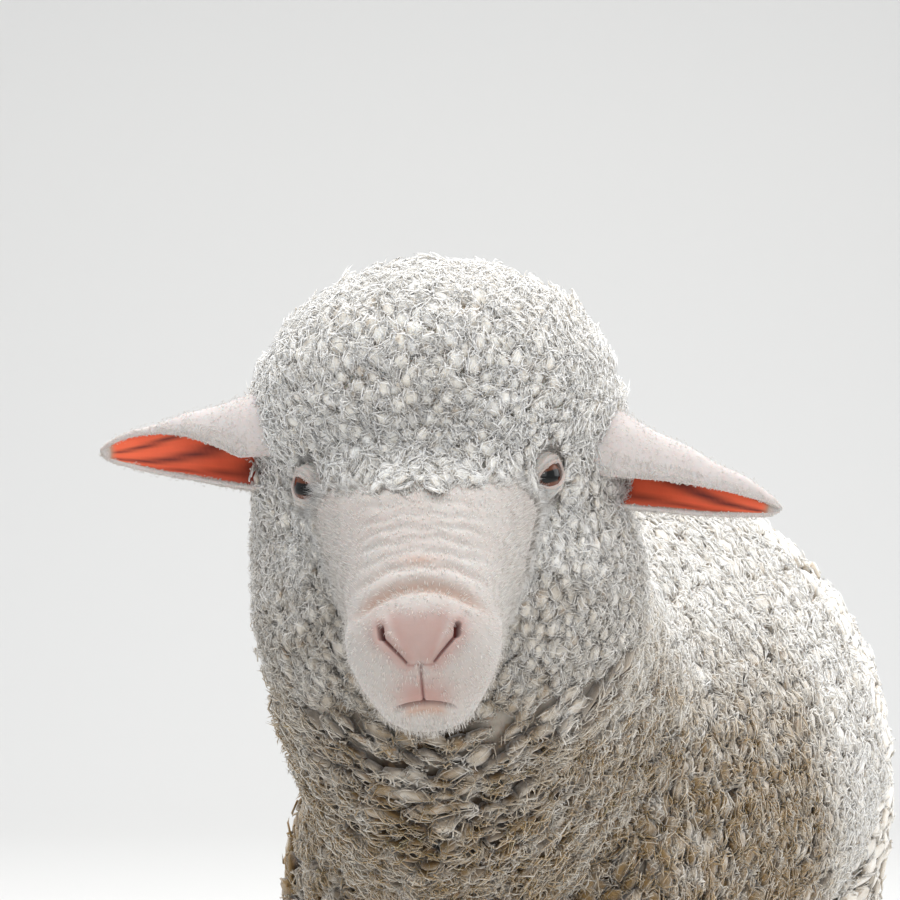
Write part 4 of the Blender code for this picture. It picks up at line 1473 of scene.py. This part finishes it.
class SHEEP_OT_eyes(bpy.types.Operator):
    """Make both eyeballs"""

    bl_idname = "sheep.eyes"
    bl_label = "Eyes"

    def execute(self, context):
        finish = eye_material()
        for side in (1, -1):
            build_eye(side, finish)
        return {"FINISHED"}


class SHEEP_OT_hooves(bpy.types.Operator):
    """Make the claws and dewclaws"""

    bl_idname = "sheep.hooves"
    bl_label = "Hooves"

    def execute(self, context):
        build_hooves(horn_material())
        return {"FINISHED"}


class SHEEP_OT_fleece(bpy.types.Operator):
    """Grow the fleece, zone by zone"""

    bl_idname = "sheep.fleece"
    bl_label = "Fleece"

    def execute(self, context):
        chosen = context.scene.sheep_fleece
        tree = growth_tree()
        finish = fleece_material()
        fluffy = staples("fluffy", 100, count=26, wide=1.90, core=0.60, thick=0.062, upward=0.35, fly=0.40)
        brushed = staples("brushed", 150, count=26, wide=2.15, core=0.62, thick=0.058, upward=0.65, fly=0.35)
        curly = staples("curly", 200, count=28, wide=1.90, core=0.60, thick=0.048, upward=0.55, fly=0.40)
        blocky = staples("blocky", 300, count=24, wide=1.50, core=0.60, thick=0.055, upward=0.35, fly=0.30)
        plain = staples("plain", 400, count=6, wide=1.50, core=0.78, thick=0.085, upward=0.40, fly=0.20)
        fringe = short_hairs("fringe", 550, 8, 0.10)
        fuzz = short_hairs("fuzz", 600, 6, 0.06)
        lashes = short_hairs("lashes", 650, 3, 0.20)
        rims = short_hairs("rims", 700, 6, 0.20)
        skin = made_skin()
        white = hair_material()
        small, cheek = chosen.cap_spacing, chosen.cheek_spacing
        neck, body = chosen.neck_spacing, chosen.body_spacing
        # zone, tufts, spacing, reach, lean, disorder, clumps, relief, material
        plan = (
            ("cap_front", fluffy, small, 1.20, 0.40, 0.28, 80.0, 1.2, finish),
            ("cap_back", fluffy, small * 1.9, 1.20, 0.40, 0.28, 80.0, 1.2, finish),
            ("cheek_left", brushed, cheek, 1.15, 0.35, 0.26, 90.0, 1.2, finish),
            ("cheek_right", brushed, cheek, 1.15, 0.35, 0.26, 90.0, 1.2, finish),
            ("neck_left", curly, neck, 1.15, 0.6, 0.36, 60.0, 1.7, finish),
            ("neck_right", curly, neck * 1.12, 1.15, 0.6, 0.36, 60.0, 1.7, finish),
            ("chest", curly, neck * 0.96, 1.15, 0.6, 0.36, 60.0, 2.2, finish),
            ("flank_left_fore", blocky, body, 1.0, 0.15, 0.30, 70.0, 1.9, finish),
            ("flank_left_hind", blocky, body * 1.25, 1.0, 0.15, 0.30, 70.0, 1.7, finish),
            ("flank_right", plain, body * 1.35, 1.0, 0.15, 0.30, 60.0, 1.7, finish),
            ("rear", plain, body * 1.35, 1.0, 0.15, 0.30, 60.0, 1.7, finish),
            ("legs", plain, body * 1.3, 1.0, 0.5, 0.30, 60.0, 1.4, finish),
            ("fringe", fringe, 0.0015, 2.4, 1.0, 0.60, 110.0, 0.8, finish),
            ("face", fuzz, 0.0026, 2.4, 2.2, 0.30, 150.0, 0.8, white),
            ("lashes", lashes, 0.0009, 7.0, 1.2, 0.35, 150.0, 0.8, white),
            ("ears", fuzz, 0.0025, 1.6, 2.2, 0.30, 150.0, 0.8, white),
            ("ear_rims", rims, 0.0013, 2.2, 0.4, 0.30, 150.0, 0.8, white),
            ("shanks", fringe, 0.0065, 1.0, 1.2, 0.30, 80.0, 0.8, white),
        )
        for number, (zone, tufts, spacing, reach, lean, disorder, clumps, relief, look) in enumerate(plan):
            item = grow(
                "fleece_" + zone, skin, tree, tufts, look, Zone=ZONES[zone], Spacing=spacing, Width=spacing,
                Reach=reach, Lean=lean, Disorder=disorder, Clumps=clumps, Relief=relief,
                Seed=chosen.seed + number)
        return {"FINISHED"}


class SHEEP_OT_stage(bpy.types.Operator):
    """Set up floor, backdrop, light and camera"""

    bl_idname = "sheep.stage"
    bl_label = "Stage"

    def execute(self, context):
        chosen = context.scene.sheep_stage
        build_stage(chosen.floor_colour, chosen.light)
        return {"FINISHED"}


# The floor, seen from the camera: its near end, where it starts to turn up, how wide it turns, how
# high it then goes, and half its width.
FLOOR_NEAR = -3.5
FLOOR_FAR = 2.4
FLOOR_TURN = 1.3
BACKDROP_TOP = 5.0
FLOOR_HALF_WIDTH = 6.0
TURN_STEPS = 12
SKY = (0.93, 0.96, 1.0, 1.0)


def build_stage(floor_colour, light):
    """A pale floor that turns up into a backdrop, three soft lamps, an even sky and the camera."""
    made, _, shader = material("studio", 0.9, specular=0.2)
    shader.inputs["Base Color"].default_value = (*floor_colour, 1.0)
    ahead = np.array((-math.sin(VIEW_TURN), math.cos(VIEW_TURN), 0.0))
    across = np.array((math.cos(VIEW_TURN), math.sin(VIEW_TURN), 0.0))
    profile = [(FLOOR_NEAR, 0.0), (FLOOR_FAR, 0.0)]
    for k in range(1, TURN_STEPS + 1):
        angle = math.pi / 2 * k / TURN_STEPS
        profile.append((FLOOR_FAR + FLOOR_TURN * math.sin(angle), FLOOR_TURN * (1 - math.cos(angle))))
    profile.append((FLOOR_FAR + FLOOR_TURN, BACKDROP_TOP))
    points, faces = [], []
    for distance, height in profile:
        for side in (-FLOOR_HALF_WIDTH, FLOOR_HALF_WIDTH):
            points.append(ahead * distance + across * side + np.array((0, 0, height)))
    for i in range(len(profile) - 1):
        faces.append((2 * i, 2 * i + 1, 2 * i + 3, 2 * i + 2))
    mesh = mesh_from("floor", points, faces)
    smooth(mesh)
    mesh.materials.append(made)
    floor = new_object("floor", mesh)

    def lamp(name, at, aim, size, power):
        data = bpy.data.lights.new(name, "AREA")
        data.shape = "RECTANGLE"
        data.size, data.size_y = size
        data.energy = power
        item = new_object(name, data)
        item.location = at
        item.rotation_euler = (Vector(aim) - Vector(at)).to_track_quat("-Z", "Y").to_euler()

    centre = (0.0, -0.2, 0.5)
    top = tuple(np.array((0.0, -0.2, 2.6)) + 0.2 * ahead)
    lamp("top_light", top, centre, (2.6, 2.6), 80 * light)
    lamp("front_light", tuple(-ahead * 2.6 + np.array((0.2, 0, 1.3))), centre, (2.4, 1.8), 26 * light)
    lamp("side_light", tuple(across * 2.4 + np.array((0, 0, 1.4))), centre, (1.8, 1.8), 21 * light)
    world = bpy.data.worlds.new("studio")
    world.use_nodes = True
    sky = world.node_tree.nodes["Background"]
    sky.inputs["Color"].default_value = SKY
    sky.inputs["Strength"].default_value = 0.70 * light
    bpy.context.scene.world = world
    bpy.context.scene.view_settings.view_transform = "Standard"

    data = bpy.data.cameras.new("camera")
    data.lens = VIEW_LENS
    data.sensor_width = VIEW_SENSOR
    camera = new_object("camera", data)
    camera.location = HEAD_AT - ahead * VIEW_DISTANCE + across * VIEW_RIGHT + np.array((0, 0, VIEW_UP))
    camera.rotation_euler = Euler((math.pi / 2, 0, VIEW_TURN))
    bpy.context.scene.camera = camera


CLASSES = (
    FleeceSettings, StageSettings,
    SHEEP_OT_skin, SHEEP_OT_eyes, SHEEP_OT_hooves, SHEEP_OT_fleece, SHEEP_OT_stage,
)


class SHEEP_PT_panel(bpy.types.Panel):
    """Lists the steps that build the sheep"""

    bl_label = "Sheep"
    bl_idname = "SHEEP_PT_panel"
    bl_space_type = "VIEW_3D"
    bl_region_type = "UI"
    bl_category = "Sheep"

    def draw(self, context):
        for made in CLASSES:
            if issubclass(made, bpy.types.Operator):
                self.layout.operator(made.bl_idname)


def register():
    for made in CLASSES + (SHEEP_PT_panel,):
        bpy.utils.register_class(made)
    bpy.types.Scene.sheep_fleece = bpy.props.PointerProperty(type=FleeceSettings)
    bpy.types.Scene.sheep_stage = bpy.props.PointerProperty(type=StageSettings)


def unregister():
    del bpy.types.Scene.sheep_stage
    del bpy.types.Scene.sheep_fleece
    for made in reversed(CLASSES + (SHEEP_PT_panel,)):
        bpy.utils.unregister_class(made)


def main():
    register()
    bpy.ops.sheep.skin()
    bpy.ops.sheep.eyes()
    bpy.ops.sheep.hooves()
    bpy.ops.sheep.fleece()
    bpy.ops.sheep.stage()


if __name__ == "__main__":
    main()
